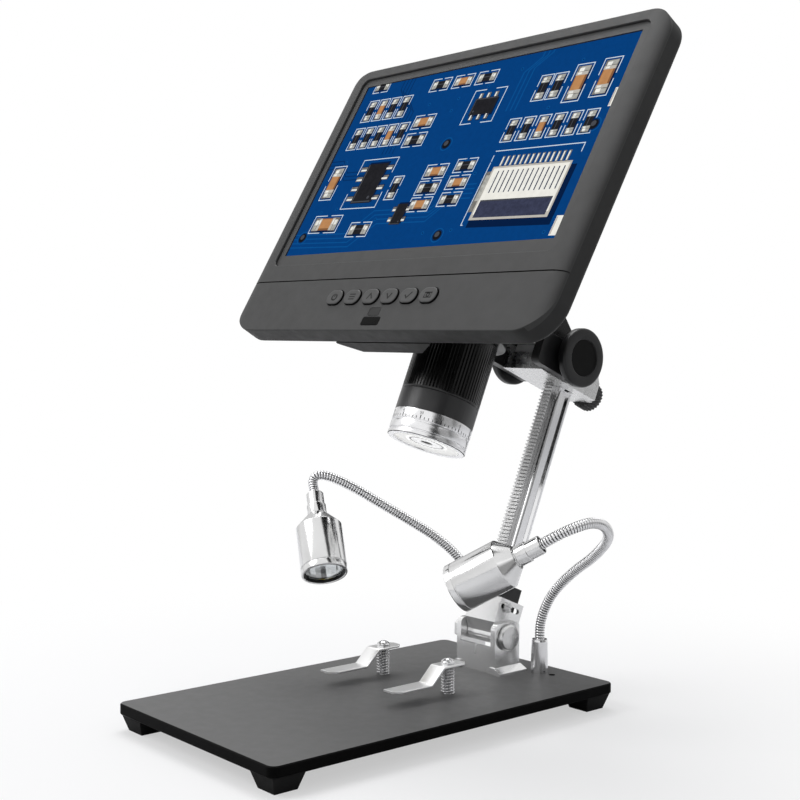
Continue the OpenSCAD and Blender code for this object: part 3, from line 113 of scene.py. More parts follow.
class Nodes:
    """Node tree of a new material or world, with short calls to fill it."""

    def __init__(self, name, kind="Material"):
        self.owner = (bpy.data.worlds if kind == "World" else bpy.data.materials).new(name)
        self.owner.use_nodes = True
        self.tree = self.owner.node_tree
        self.tree.nodes.clear()
        self.out = self.node("Output" + kind)
        self.coords = self.add("TexCoord")["Object"]

    def node(self, kind, inputs=None, **settings):
        """A new node. inputs holds a value, or an output to link, for each socket."""
        node = self.tree.nodes.new("ShaderNode" + kind)
        for key, value in settings.items():
            setattr(node, key, value)
        for key, value in (inputs or {}).items():
            if isinstance(value, bpy.types.NodeSocket):
                self.tree.links.new(value, node.inputs[key])
            elif value is not None:
                node.inputs[key].default_value = value
        return node

    def add(self, kind, inputs=None, **settings):
        """The outputs of a new node."""
        return self.node(kind, inputs, **settings).outputs

    def noise(self, scale, detail=4.0, roughness=0.55, vector=None):
        vector = self.coords if vector is None else vector
        return self.add("TexNoise", {"Scale": scale, "Detail": detail, "Roughness": roughness,
                                     "Vector": vector})["Fac"]

    def spread(self, value, low, high, from_low=0.3, from_high=0.7, **settings):
        return self.add("MapRange", {"Value": value, "From Min": from_low, "From Max": from_high,
                                     "To Min": low, "To Max": high}, **settings)["Result"]

    def mix(self, factor, a, b):
        return self.add("Mix", {0: factor, 6: a, 7: b}, data_type="RGBA")[2]

    def wander(self, value, a, b, low=0.3, high=0.7):
        """Colour that goes from a to b as a value goes from low to high."""
        return self.mix(self.spread(value, 0.0, 1.0, low, high), a, b)

    def ramp(self, value, stops):
        """Greys at the given places along a value."""
        node = self.node("ValToRGB", {"Fac": value})
        elements = node.color_ramp.elements
        while len(elements) < len(stops):
            elements.new(0.5)
        for element, (at, level) in zip(elements, stops):
            element.position = at
            element.color = grey(level)
        return node.outputs["Color"]

    def bump(self, height, strength, distance, normal=None):
        return self.add("Bump", {"Strength": strength, "Distance": distance, "Height": height,
                                 "Normal": normal})["Normal"]

    def round_edges(self, radius):
        return self.add("Bevel", {"Radius": radius}, samples=4)["Normal"] if radius else None

    def calc(self, operation, a, b):
        return self.add("Math", {0: a, 1: b}, operation=operation)[0]

    def length(self, vector):
        return self.add("VectorMath", {0: vector}, operation="LENGTH")["Value"]

    def along(self, row):
        """A point's place along an axis of another frame, from that axis' row of the matrix into it."""
        dot = self.add("VectorMath", {0: self.coords, 1: row[:3]}, operation="DOT_PRODUCT")["Value"]
        return self.calc("ADD", dot, row[3])

    def seen_share(self):
        """1 for what the camera sees straight, mirrored or through glass, otherwise 0; then 1 if mirrored."""
        path = self.add("LightPath")
        seen = self.calc("MAXIMUM", path["Is Camera Ray"], path["Is Glossy Ray"])
        return self.calc("MAXIMUM", seen, path["Is Transmission Ray"]), path["Is Glossy Ray"]

    def blend(self, factor, a, b):
        return self.add("MixShader", {0: factor, 1: a, 2: b})[0]

    def surface(self, shader):
        self.tree.links.new(shader, self.out.inputs["Surface"])
        return self.owner

    def shader(self, **values):
        """Principled surface from its sockets' names, with underscores for the spaces."""
        inputs = {key.replace("_", " "): value for key, value in values.items()}
        return self.surface(self.add("BsdfPrincipled", inputs)[0])


# ---- materials ----
def moulded(name, levels, rough, grain, grain_scale, variation, edge, gloss):
    """Moulded or painted surface: faint mottling, fine grain, softened edges."""
    n = Nodes(name)
    color = srgb(*levels)
    tone = n.wander(n.noise(35, 3), shade(color, 1 - variation), shade(color, 1 + variation))
    fine = n.noise(grain_scale, 2, 0.6)
    return n.shader(Base_Color=tone, Roughness=n.spread(n.noise(160, 5), rough - 0.05, rough + 0.06),
                    Normal=n.bump(fine, 0.55, grain * MICRON, n.round_edges(edge * MICRON)), Specular_IOR_Level=gloss)


def metal(name, color, rough, streak_scale, depth, variation=0.05, edge=250, spread=0.05, stretch=(1, 1, 1)):
    """Plated or machined metal: streaked roughness along one direction and slightly uneven tone."""
    n = Nodes(name)
    mapped = n.add("Mapping", {"Scale": stretch, "Vector": n.coords})["Vector"]
    streak = n.noise(streak_scale, 6, 0.65, mapped)
    tone = n.wander(n.noise(55, 3), shade(color, 1 - variation), shade(color, 1.0))
    return n.shader(Base_Color=tone, Metallic=1.0,
                    Roughness=n.spread(streak, max(rough - spread, 0.02), rough + spread, 0.25, 0.75),
                    Normal=n.bump(streak, 0.4, depth * MICRON, n.round_edges(edge * MICRON)))


def satin_plating(color, rough, share):
    """Satin plating: part mirror, part pale matt, faintly streaked."""
    n = Nodes("satin_plating")
    streak = n.noise(420, 6, 0.65)
    return n.shader(Base_Color=n.wander(streak, shade(color, 0.96), shade(color, 1.0)), Metallic=share,
                    Roughness=n.spread(streak, rough - 0.04, rough + 0.04), Normal=n.round_edges(100 * MICRON))


def turned_metal(name, color, rough, depth):
    """Lathe-turned metal: fine rings square to the axis, read from the stored axial distance."""
    n = Nodes(name)
    along = n.add("Attribute", attribute_name="axial")["Fac"]
    rings = n.noise(5200, 3, 0.7, n.add("CombineXYZ", {"Z": along})["Vector"])
    tone = n.wander(n.noise(90, 4), shade(color, 0.93), shade(color, 1.0))
    return n.shader(Base_Color=tone, Metallic=1.0, Roughness=n.spread(rings, rough - 0.04, rough + 0.05),
                    Normal=n.bump(rings, 0.5, depth * MICRON))


def wound_steel(color, rough):
    """Wound hose: bright rib crests with painted shade darkening the grooves between them, read from the stored crest
    heights.
    """
    n = Nodes("wound_steel")
    crest = n.add("Attribute", attribute_name="mark")["Fac"]
    smudge = n.noise(160, 4)
    bright = n.wander(smudge, shade(color, 0.9), shade(color, 1.0))
    # painted shade: the grooves between the ribs are darkened to near black
    return n.shader(Base_Color=n.wander(crest, shade(color, 0.08), bright, 0.2, 0.9), Metallic=1.0,
                    Roughness=n.spread(smudge, rough - 0.03, rough + 0.05))


def glowing(name, color, strength):
    n = Nodes(name)
    tone = n.wander(n.noise(900, 3), shade(color, 0.85), color)
    return n.shader(Base_Color=tone, Roughness=0.4, Emission_Color=tone, Emission_Strength=strength)


def clear_lens(tint, rough, ior):
    n = Nodes("clear_lens")
    return n.shader(Base_Color=tint, Roughness=n.spread(n.noise(140, 4), rough, rough + 0.03),
                    Transmission_Weight=1.0, IOR=ior)


def stage_paint(top, sides):
    """Powder-coated plate: fine grain, a paler top face, and painted shade darkening its sides and edges, told apart
    by which way they face.
    """
    n = Nodes("stage_paint")
    normal = n.add("TexCoord")["Normal"]
    face = n.spread(n.add("SeparateXYZ", {0: normal})["Z"], 0.0, 1.0, 0.7, 0.97)
    fine = n.noise(2600, 3, 0.65)
    broad = n.wander(n.noise(14, 3), shade(top, 0.97), shade(top, 1.03))
    speck = n.wander(fine, shade(top, 0.86), shade(top, 1.12), 0.25, 0.75)
    # painted shade: faces that do not point up take the dark colour of the sides
    return n.shader(Base_Color=n.mix(face, sides, n.mix(0.5, broad, speck)),
                    Roughness=n.spread(n.noise(160, 5), 0.40, 0.48),
                    Normal=n.bump(fine, 0.5, 30 * MICRON, n.round_edges(100 * MICRON)),
                    Specular_IOR_Level=n.spread(face, 0.03, 0.25, 0.0, 1.0))


def two_tone_sheet(to_head):
    """Plated sheet whose upper half is dark grey and not metallic, told apart by height along the column."""
    n = Nodes("bracket_sheet")
    dark = n.spread(n.along(to_head[2]), 0.0, 1.0, 0.5, 1.1)
    streak = n.noise(420, 6, 0.65)
    tone = n.mix(dark, n.wander(streak, grey(0.60), grey(0.66)), srgb(26))
    return n.shader(Base_Color=tone, Metallic=n.calc("SUBTRACT", 1.0, dark), Roughness=n.spread(streak, 0.24, 0.32),
                    Normal=n.round_edges(100 * MICRON), Specular_IOR_Level=0.3)


def ringed_window(to_lens):
    """Clear end window of the barrel: pale, with a thin dark ring round the middle; its pale glow is painted light,
    given off though the window is no lamp.
    """
    n = Nodes("end_window_painted_glow")
    across = n.add("CombineXYZ", {"X": n.along(to_lens[0]), "Y": n.along(to_lens[1])})[0]
    tone = n.ramp(n.spread(n.length(across), 0.0, 1.0, 0.0, 20.0), [
        (0.0, 0.9), (0.36, 0.95), (0.380, 0.95), (0.385, 0.02), (0.425, 0.02), (0.43, 0.95), (0.52, 0.95),
        (0.56, 0.72), (0.80, 0.62)])
    # painted glow: emission makes the window shine though it is no lamp
    return n.shader(Base_Color=tone, Roughness=n.spread(n.noise(140, 4), 0.14, 0.2), Emission_Color=tone,
                    Emission_Strength=0.42)


# Material's name, sRGB levels, roughness, grain depth in microns, grain scale, variation of the tone, edge radius in
# microns, gloss
MOULDED = {
    "rubber": ("foot_rubber", (24,), 0.70, 40, 1800, 0.10, 400, 0.15),
    "cast": ("cast_block", (222,), 0.32, 10, 1800, 0.04, 200, 0.8),
    "black": ("black_moulding", (30, 30, 31), 0.34, 20, 2200, 0.10, 400, 0.35),
    "black_face": ("black_inset", (12,), 0.45, 20, 2600, 0.10, 200, 0.08),
    "anodised": ("black_anodised", (5,), 0.22, 4, 3600, 0.10, 0, 0.45),
    "band": ("smooth_band", (50, 50, 51), 0.34, 15, 3600, 0.08, 200, 0.5),
    "grey": ("grained_housing", (64,), 0.55, 50, 2600, 0.04, 0, 0.25),
    # painted shade: a darker copy of the housing grey, for faces out of the light
    "shaded": ("shaded_housing", (48,), 0.55, 50, 2600, 0.04, 0, 0.2),
    "button": ("button_moulding", (70,), 0.48, 20, 3000, 0.04, 0, 0.3),
    # painted shade: near black for faces that stand in shadow
    "painted_shade_black": ("painted_shade_black", (12,), 0.6, 10, 2600, 0.1, 0, 0.05),
    "tinted": ("tinted_window", (34,), 0.45, 10, 2600, 0.06, 0, 0.2),
    "glyph": ("glyph_ink", (8,), 0.5, 10, 3000, 0.1, 0, 0.2),
    "frame": ("display_border", (65,), 0.50, 30, 2600, 0.04, 0, 0.25),
    "panel": ("panel_glass", (9, 9, 11), 0.25, 10, 900, 0.15, 0, 0.2),
    "window": ("smoked_window", (5,), 0.3, 5, 600, 0.2, 0, 0.04),
    "white": ("white_moulding", (232, 232, 230), 0.42, 20, 1500, 0.02, 200, 0.5),
    "board": ("solder_mask", (22, 84, 48), 0.35, 30, 900, 0.15, 200, 0.5),
    "tick": ("tick_ink", (40, 40, 42), 0.5, 10, 2500, 0.1, 0, 0.4),
}
# Material's name, linear colour, roughness, scale of the streaks and their depth in microns; then, where they differ
# from most, variation of the tone, edge radius in microns, spread of the roughness, stretch of the streaks
METALS = {
    "chrome": ("bright_plating", (0.76, 0.76, 0.77), 0.17, 260, 3),
    "chrome_strip": ("bright_strip", grey(0.92), 0.30, 260, 0.8, 0.03, 250, 0.02, (6, 0.6, 1)),
    "zinc": ("zinc_plating", grey(0.66), 0.24, 420, 5),
    "wire": ("spring_wire", (0.72, 0.72, 0.73), 0.14, 600, 3, 0.05, 0),
    "extrusion": ("bright_extrusion", (0.86, 0.86, 0.87), 0.10, 900, 3, 0.05, 250, 0.03, (1.2, 1.2, 0.03)),
    "rack": ("cut_rack", grey(0.66), 0.22, 900, 8, 0.12, 100),
    "brass": ("turned_brass", (0.75, 0.56, 0.28), 0.25, 700, 4, 0.1),
    "reflector": ("bright_reflector", (0.88, 0.88, 0.86), 0.12, 200, 10, 0.05, 0),
}
M = {key: moulded(*row) for key, row in MOULDED.items()}
M.update({key: metal(*row) for key, row in METALS.items()})
# The plate's top colour, then the near black painted shade of its sides
M["stage"] = stage_paint(srgb(96), srgb(7))
M["satin"] = satin_plating(grey(0.90), 0.20, 0.80)
M["neck"] = wound_steel((0.90, 0.90, 0.91), 0.16)
M["turned"] = turned_metal("turned_aluminium", grey(0.76), 0.15, 5)
M["turned_bright"] = turned_metal("turned_plating", (0.86, 0.86, 0.87), 0.20, 1)
M["diffuser"] = glowing("lamp_diffuser", srgb(240, 240, 238), 0.6)
M["led"] = glowing("led_phosphor", srgb(236, 214, 96), 0.35)
M["lens_glass"] = clear_lens((0.96, 0.98, 1.0, 1), 0.02, 1.45)

# ---- finishes of the CAD nodes that keep their own shape ----
FINISHES = {
    "stage": "base_plate", "rubber": "rubber_feet", "satin": "column_bracket tilt_clamp",
    "chrome": "clip_screws lamp_sockets", "cast": "carriage_block", "extrusion": "column_rail", "rack": "rack",
    "zinc": "bracket_screws pivot_nut clamp_screw head_screws housing_screws pinion_shaft",
    "black": "column_seat column_cap side_covers head_mount lens_housing", "brass": "shaft_bushes",
    "band": "lens_tube", "white": "led_board", "diffuser": "diffuser", "window": "objective_lens",
    "board": "sensor_board main_board button_board", "frame": "screen_frame", "panel": "lcd_panel",
    # painted shade: the back cover takes the darker copy of the housing grey
    "shaded": "back_cover",
}


def paint(name, material):
    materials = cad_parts[name].data.materials
    materials.clear()
    materials.append(material)


def from_node(name, at):
    """Matrix from a CAD node's own metres into a frame in millimetres."""
    return at.inverted() @ Matrix.Scale(1 / MM, 4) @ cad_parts[name].matrix_world


for key, names in FINISHES.items():
    for name in names.split():
        paint(name, M[key])
paint("carriage_bracket", two_tone_sheet(from_node("carriage_bracket", HEAD)))
paint("lens_hood", ringed_window(from_node("lens_hood", LENS)))


# ---- outlines and shapes: a shape is its points and its faces, in millimetres ----
def polar(radius, angle):
    return radius * cos(angle), radius * sin(angle)


def box(x0, y0, x1, y1):
    return [(x0, y0), (x1, y0), (x1, y1), (x0, y1)]


def rounded(points, radii, steps=4, closed=True):
    """A 2D outline with its corners rounded; radii is one number or one per point."""
    n = len(points)
    out = []
    for i, p in enumerate(points):
        r = radii if isinstance(radii, (int, float)) else radii[i]
        p = Vector(p)
        da, db = Vector(points[i - 1]) - p, Vector(points[(i + 1) % n]) - p
        end = not closed and i in (0, n - 1)
        if end or r <= 0 or da.length < 1e-6 or db.length < 1e-6 or da.angle(db) > pi - 0.02:
            out.append(tuple(p))
            continue
        da_n, db_n = da.normalized(), db.normalized()
        angle = da_n.angle(db_n)
        cut_back = min(r / tan(angle / 2), da.length * 0.48, db.length * 0.48)
        r = cut_back * tan(angle / 2)
        centre = p + (da_n + db_n).normalized() * (r / sin(angle / 2))
        s, e = p + da_n * cut_back - centre, p + db_n * cut_back - centre
        swing = s.angle_signed(e)
        out += [tuple(centre + Matrix.Rotation(-swing * k / steps, 2) @ s) for k in range(steps + 1)]
    return out


def lathe(profile, segments=96):
    """Surface turned from a closed outline of (radius, height) points."""
    n = len(profile)
    verts = [(*polar(r, TAU * s / segments), z) for s in range(segments) for r, z in profile]
    faces = []
    for s in range(segments):
        t = (s + 1) % segments
        for i in range(n):
            j = (i + 1) % n
            if profile[i][0] > 1e-6 or profile[j][0] > 1e-6:
                faces.append((s * n + i, s * n + j, t * n + j, t * n + i))
    return verts, faces


def joined(shapes):
    verts, faces = [], []
    for v, f in shapes:
        base = len(verts)
        verts += v
        faces += [tuple(i + base for i in face) for face in f]
    return verts, faces


def moved(shape, matrix):
    return [tuple(matrix @ Vector(v)) for v in shape[0]], shape[1]


def prism(outline, low, high):
    n = len(outline)
    verts = [(x, y, low) for x, y in outline] + [(x, y, high) for x, y in outline]
    faces = [tuple(range(n))[::-1], tuple(range(n, 2 * n))]
    faces += [(i, (i + 1) % n, n + (i + 1) % n, n + i) for i in range(n)]
    return verts, faces


def bar(section, start, end):
    """Prism along Y, from an outline of (x, depth) points."""
    return moved(prism(section, start, end), FACING)


def skin(rings, capped=True):
    """Surface over closed rings of points."""
    n = len(rings[0])
    faces = [(k * n + i, k * n + (i + 1) % n, (k + 1) * n + (i + 1) % n, (k + 1) * n + i)
             for k in range(len(rings) - 1) for i in range(n)]
    if capped:
        faces.append(tuple(range(n))[::-1])
        faces.append(tuple((len(rings) - 1) * n + i for i in range(n)))
    return [p for ring in rings for p in ring], faces


def tube(points, radius, sides):
    """Round tube along points; radius is one number or one per point."""
    pts = [Vector(p) for p in points]
    rings = []
    normal = (pts[1] - pts[0]).orthogonal().normalized()
    for i, p in enumerate(pts):
        d = (pts[min(i + 1, len(pts) - 1)] - pts[max(i - 1, 0)]).normalized()
        normal = (normal - d * normal.dot(d)).normalized()
        other = d.cross(normal)
        r = radius[i] if isinstance(radius, list) else radius
        rings.append([tuple(p + r * (cos(TAU * k / sides) * normal + sin(TAU * k / sides) * other))
                      for k in range(sides)])
    return skin(rings)


# ---- meshes and pieces ----
def to_mesh(name, shape, matrix, layers=None):
    """Mesh of a shape in a local frame; layers store a number per point."""
    verts, faces = shape
    mesh = bpy.data.meshes.new(name)
    mesh.from_pydata([tuple((matrix @ Vector(v)) * MM) for v in verts], [], faces)
    bm = bmesh.new()
    bm.from_mesh(mesh)
    for key, values in (layers or {}).items():
        layer = bm.verts.layers.float.new(key)
        for v, value in zip(bm.verts, values):
            v[layer] = value
    bmesh.ops.remove_doubles(bm, verts=bm.verts, dist=1e-7)
    bmesh.ops.recalc_face_normals(bm, faces=bm.faces)
    bm.to_mesh(mesh)
    bm.free()
    return mesh


def finish_mesh(mesh, smooth):
    for poly in mesh.polygons:
        poly.use_smooth = True
    mesh.set_sharp_from_angle(angle=radians(smooth))
    mesh.update()


def heights(shape):
    """Each point's distance along the local Z in metres, for the turned finish."""
    return [v[2] * MM for v in shape[0]]


def build(name, shape, matrix, finish, body, stands_for=(), smooth=32, **layers):
    """Makes a piece on a body, in place of the nodes that it stands for."""
    mesh = to_mesh(name, shape, matrix, layers)
    finish_mesh(mesh, smooth)
    obj = add_object(name, mesh)
    mesh.materials.append(M[finish])
    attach(obj, body)
    if stands_for:
        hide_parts(*stands_for)
    return obj


def cut(obj, matrix, shapes, operation="DIFFERENCE"):
    """Takes closed shapes out of a piece, or keeps only what they share with it."""
    for shape in shapes:
        mesh = to_mesh("cutter", shape, matrix)
        tool = add_object("cutter", mesh)
        mod = obj.modifiers.new("cut", "BOOLEAN")
        mod.operation = operation
        mod.solver = "EXACT"
        mod.object = tool
        depsgraph = bpy.context.evaluated_depsgraph_get()
        result = bpy.data.meshes.new_from_object(obj.evaluated_get(depsgraph))
        obj.modifiers.remove(mod)
        old = obj.data
        obj.data = result
        bpy.data.meshes.remove(old)
        bpy.data.objects.remove(tool)
        bpy.data.meshes.remove(mesh)


def darken(obj, matrix, test, finish="painted_shade_black"):
    """Paints shade: gives a darker finish, standing in for shade, to the faces that test picks by their middle and
    direction in a local frame.
    """
    obj.data.materials.append(M[finish])
    back = matrix.inverted()
    turned = back.to_3x3()
    for poly in obj.data.polygons:
        if test(back @ (poly.center / MM), (turned @ poly.normal).normalized()):
            poly.material_index = len(obj.data.materials) - 1


# ---- goosenecks, lamps ----
NECKS = {
    "right": [(23, 87, 14.5), (23, 87, 20), (23.6, 87.1, 25), (26, 87.4, 31.9), (30, 87.6, 38.8), (37, 87.6, 46.3),
              (47.6, 86.3, 54.4), (59.6, 83.8, 62), (70.7, 79.5, 70.1), (77.5, 73.6, 76), (81, 65.8, 80.9),
              (81.7, 56.6, 82.8), (79.6, 47.2, 81), (75.2, 41.2, 77.6), (69.8, 38, 73.8), (68.3, 37.1, 72.8)],
    "left": [(-23, 87, 14.5), (-23, 87, 20), (-23.2, 87.2, 25.9), (-24, 86.7, 34.9), (-26.4, 83.7, 45),
             (-30, 76.9, 54.5), (-35, 67.3, 63.3), (-41, 55.6, 71.6), (-48, 43.4, 80), (-55.5, 31.8, 88.2),
             (-61.5, 22.8, 93.3), (-65.6, 17.4, 94.4), (-66.7, 15, 91.6), (-64.8, 14.1, 87.6),
             (-63.3, 13.5, 85.6), (-62.1, 12.9, 83.8)],
}
NECK_RIBS, NECK_SIDES = 102, 24
NECK_GROOVE_R, NECK_RIB = 1.95, 0.50
RIB_STEPS = (0.0, 0.75, 1.0, 1.0, 1.0, 0.75)
NECK_IN = 2
LAMP_L, LAMP_R = 44.8, 11.4


def route_points(route, steps=24):
    """Straight first and last spans with a smooth curve between, as the solids have."""
    p = [Vector(q) for q in route]
    out = [p[0]]
    for i in range(1, len(p) - 2):
        a, b, c, d = p[i - 1], p[i], p[i + 1], p[i + 2]
        for k in range(steps):
            t = k / steps
            out.append(0.5 * (2 * b + (c - a) * t + (2 * a - 5 * b + 4 * c - d) * t ** 2
                              + (3 * b - a - 3 * c + d) * t ** 3))
    return out + [p[-2], p[-1]]


def resample(points, count):
    """The same line in spans of even length."""
    lengths = [0.0]
    for a, b in zip(points, points[1:]):
        lengths.append(lengths[-1] + (b - a).length)
    out, k = [], 0
    for i in range(count + 1):
        at = lengths[-1] * i / count
        while k < len(points) - 2 and lengths[k + 1] < at:
            k += 1
        t = (at - lengths[k]) / max(lengths[k + 1] - lengths[k], 1e-9)
        out.append(points[k].lerp(points[k + 1], min(t, 1)))
    return out


def make_neck(side, route):
    """Wound steel hose with rounded ribs."""
    line = resample(route_points(route), NECK_RIBS * len(RIB_STEPS))
    crests = [RIB_STEPS[i % len(RIB_STEPS)] for i in range(len(line))]
    shape = tube(line, [NECK_GROOVE_R + NECK_RIB * crest for crest in crests], NECK_SIDES)
    # mark keeps each point's crest height, from which the finish paints shade into the grooves
    build(f"neck_{side}", shape, WORLD, "neck", f"neck_{side}", [f"lamp_neck_{side}"], 60,
          mark=[crest for crest in crests for _ in range(NECK_SIDES)])


def lamp_frame(route):
    """Frame of a lamp head: origin at its front, Z running back to its tail."""
    a, b = Vector(route[-2]), Vector(route[-1])
    d = (b - a).normalized()
    aim = Matrix.Rotation(atan2(d.y, d.x), 4, "Z") @ Matrix.Rotation(acos(d.z), 4, "Y")
    return Matrix.Translation(b) @ aim @ shift(0, 0, LAMP_L - NECK_IN) @ Matrix.Scale(-1, 4, (0, 0, 1))


def make_lamp(side, route):
    """Turned shell with its trim, lens, reflector and emitter."""
    at = lamp_frame(route)

    def piece(name, shape, finish, stands_for=None, smooth=32, **layers):
        nodes = [f"lamp_{stands_for}_{side}"] if stands_for else ()
        build(f"lamp_{name}_{side}", shape, at, finish, f"lamp_{side}", nodes, smooth, **layers)

    r = LAMP_R
    outer = [(r - 0.3, 0), (r, 0.35), (r, 3.0), (r - 0.35, 3.0), (r - 0.35, 3.5), (r, 3.5), (r, 25.5),
             (r - 0.4, 26.0), (5.6, 31.9), (4.2, 31.9), (4.2, 32.6), (4.8, 32.6), (4.8, 38.0), (4.3, 38.0),
             (4.3, 44.45), (4.0, LAMP_L)]
    inner = [(3.6, LAMP_L), (3.6, 42.1), (1.5, 42.1), (1.5, 14.0), (r - 1.2, 14.0), (r - 1.2, 0.3), (r - 1.0, 0)]
    radii = [0.2, 0.2, 0.15, 0.05, 0.05, 0.15, 0.2, 0.25, 0.25, 0.1, 0.1, 0.3, 0.3, 0.1, 0.15, 0.1,
             0.1, 0, 0, 0, 0, 0.1, 0.05]
    shell = lathe(rounded(outer + inner, radii), 112)
    piece("body", shell, "turned", "shell", 28, axial=heights(shell))
    piece("trim", lathe(rounded(box(9.45, 0.4, 10.05, 2.5), [0.2, 0.1, 0, 0.1], 3)), "black", "ring", 30)
    lens = lathe([(0, 1.0), (4.2, 1.1), (7.5, 1.35), (9.3, 1.7), (9.4, 2.55), (10.05, 2.55), (10.05, 4.1), (0, 4.1)])
    piece("glass", lens, "lens_glass", "lens", 30)
    cup = lathe([(10.0, 4.2), (9.2, 4.2), (8.4, 5.4), (7.2, 7.8), (5.6, 10.0), (3.8, 11.7), (3.4, 12.0), (0, 12.0),
                 (0, 13.9), (10.0, 13.9)], 20)
    piece("cup", cup, "reflector", "led", 8)
    piece("chip", prism(rounded(box(-2.4, -2.4, 2.4, 2.4), 0.4, 3), 10.9, 11.98), "led")
    piece("dome", lathe([(0, 9.6), (1.2, 9.75), (2.1, 10.4), (2.5, 11.25), (0, 11.25)], 48), "lens_glass")


for side, route in NECKS.items():
    make_neck(side, route)
    make_lamp(side, route)

# ---- stage clips ----
CLIP_X, CLIP_Y = 23.2, 25.4
CLIP_PATH = [(8.5, 13.3), (-6.2, 13.3), (-13.5, 6.3), (-35, 6.3)]
CLIP_HALF, CLIP_T = 4.6, 0.5
BEVEL, TAIL_BEVEL = 3.4, 2.3
SPRING_R, WIRE, CURLS, SPRING_H = 2.95, 0.3, 9, 12.2


def make_clip(side, s):
    """Bent strip with soft bends, a bevelled tip and a hole for its screw."""
    centre = rounded(CLIP_PATH, 1.6, 7, closed=False)
    section = rounded(box(-CLIP_HALF, -CLIP_T, CLIP_HALF, CLIP_T), 0.22, 3)
    rings = []
    for i, (y, z) in enumerate(centre):
        a, b = centre[max(i - 1, 0)], centre[min(i + 1, len(centre) - 1)]
        d = (Vector(b) - Vector(a)).normalized()
        places = [(x, Vector((y, z)) - h * Vector((-d.y, d.x))) for x, h in section]
        rings.append([(s * CLIP_X + x, CLIP_Y + q.x, q.y) for x, q in places])
    obj = build(f"clip_strip_{side}", skin(rings), WORLD, "chrome_strip", f"clip_{side}", [f"clip_{side}"], 40)
    cutters = []
    for q, v, y, bevel, low in ((1, -1, CLIP_PATH[-1][0], BEVEL, 4), (-1, 1, CLIP_PATH[0][0], TAIL_BEVEL, 11),
                                (1, 1, CLIP_PATH[0][0], TAIL_BEVEL, 11)):
        x, y = s * CLIP_X + q * CLIP_HALF, y + CLIP_Y
        x_in, y_in = x - q * bevel, y - v * bevel
        corner = [(x + q, y + v), (x + q, y_in), (x, y_in), (x_in, y), (x_in, y + v)]
        cutters.append(prism(corner, low, low + 5))
    cutters.append(moved(lathe([(0, 11), (1.7, 11), (1.7, 16), (0, 16)], 32), shift(s * CLIP_X, CLIP_Y, 0)))
    cut(obj, WORLD, cutters)
    finish_mesh(obj.data, 40)


def make_spring(side, s):
    """Round wire wound to the solid's curls, with a mesh of its own."""
    steps = 26
    count = CURLS * steps
    line = [(*polar(SPRING_R, TAU * i / steps), WIRE + SPRING_H * i / count) for i in range(count + 1)]
    at = shift(s * CLIP_X, CLIP_Y, 0)
    coil = build(f"spring_{side}", tube(line, WIRE, 12), at, "wire", f"spring_{side}", [f"clip_spring_{side}"], 60)
    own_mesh(coil)


for side, s in (("right", 1), ("left", -1)):
    make_clip(side, s)
    make_spring(side, s)


# ---- pivot bolt: low round head with a bevelled rim and a collar under it, on a plain shank ----
PIN_PROFILE = rounded([(0, -19.0), (2.6, -19.0), (3.0, -18.6), (3.0, 13.5), (5.6, 13.5), (5.6, 13.9), (6.5, 13.9),
                       (6.5, 15.2), (5.6, 16.1), (0, 16.1)], [0, 0, 0, 0, 0, 0, 0.1, 0.1, 0.1, 0], 3)
build("pivot_pin", lathe(PIN_PROFILE), PIVOT @ turn(90, "Y"), "zinc", "base", ["pivot_bolt"], 30)

# ---- focus knobs and lock knob ----
SHAFT_Y, KNOB_SEAT = -16.6, 18.8
LOCK_AT = (0, 16.9, -6.5)
GRIP_R, GRIP_WAVE, GRIP_LOBES = 7.35, 0.35, 24


def make_knobs():
    """Both focus knobs as one piece, and the flat insets in their ends as another."""
    rim = lathe(rounded([(2.53, 0), (10, 0), (10, 2.7), (14.85, 2.7), (14.85, 7.2), (9.4, 7.2), (9.4, 6.6), (0, 6.6),
                         (0, 2.7), (2.53, 2.7)], [0.2, 0.5, 0.3, 1.0, 1.2, 0.25, 0.2, 0, 0, 0], 6), 112)
    inset = lathe([(0, 6.6), (9.1, 6.6), (9.1, 6.75), (0, 6.75)])
    ends = [shift(0, SHAFT_Y, 0) @ turn(90 * s, "Y") @ shift(0, 0, KNOB_SEAT) for s in (1, -1)]
    build("knob_pair", joined([moved(rim, end) for end in ends]), HEAD, "black", "focus_drive", ["focus_knobs"], 28)
    build("knob_faces", joined([moved(inset, end) for end in ends]), HEAD, "black_face", "focus_drive")


def make_lock_knob():
    """Lobed grip on a neck and a stud; its lobes fade at both rims."""
    count = GRIP_LOBES * 8
    rings = []
    for z, scale, wave in ((0, 0.93, 0.4), (0.35, 0.98, 1), (0.8, 1.0, 1), (7.0, 1.0, 1), (7.6, 0.97, 1),
                           (8.0, 0.90, 0.4)):
        angles = [TAU * i / count for i in range(count)]
        rings.append([(*polar((GRIP_R + GRIP_WAVE * wave * cos(a * GRIP_LOBES)) * scale, a), z) for a in angles])
    neck = lathe(rounded([(0, -3.6), (3.2, -3.6), (3.2, 0.3), (0, 0.3)], [0, 0.3, 0, 0], 3), 64)
    stud = lathe([(0, -13.2), (1.7, -13.2), (2.0, -12.9), (2.0, -3.5), (0, -3.5)], 40)
    build("lock_grip", joined([skin(rings), neck, stud]), HEAD @ shift(*LOCK_AT) @ turn(-90, "X"), "black",
          "lock_knob", ["lock_knob"], 35)


make_knobs()
make_lock_knob()

# ---- lens barrel ----
BARREL_R, TUBE_R = 19.2, 17.06
RING_LOW, RING_HIGH = -45.6, -13.3
RING_RIBS, RIB_POINTS, GROOVE = 72, 8, 0.5
NOSE_Z = -68.3
INK_R = BARREL_R + 0.025
TICKS, TICKS_A_NUMBER = 60, 5


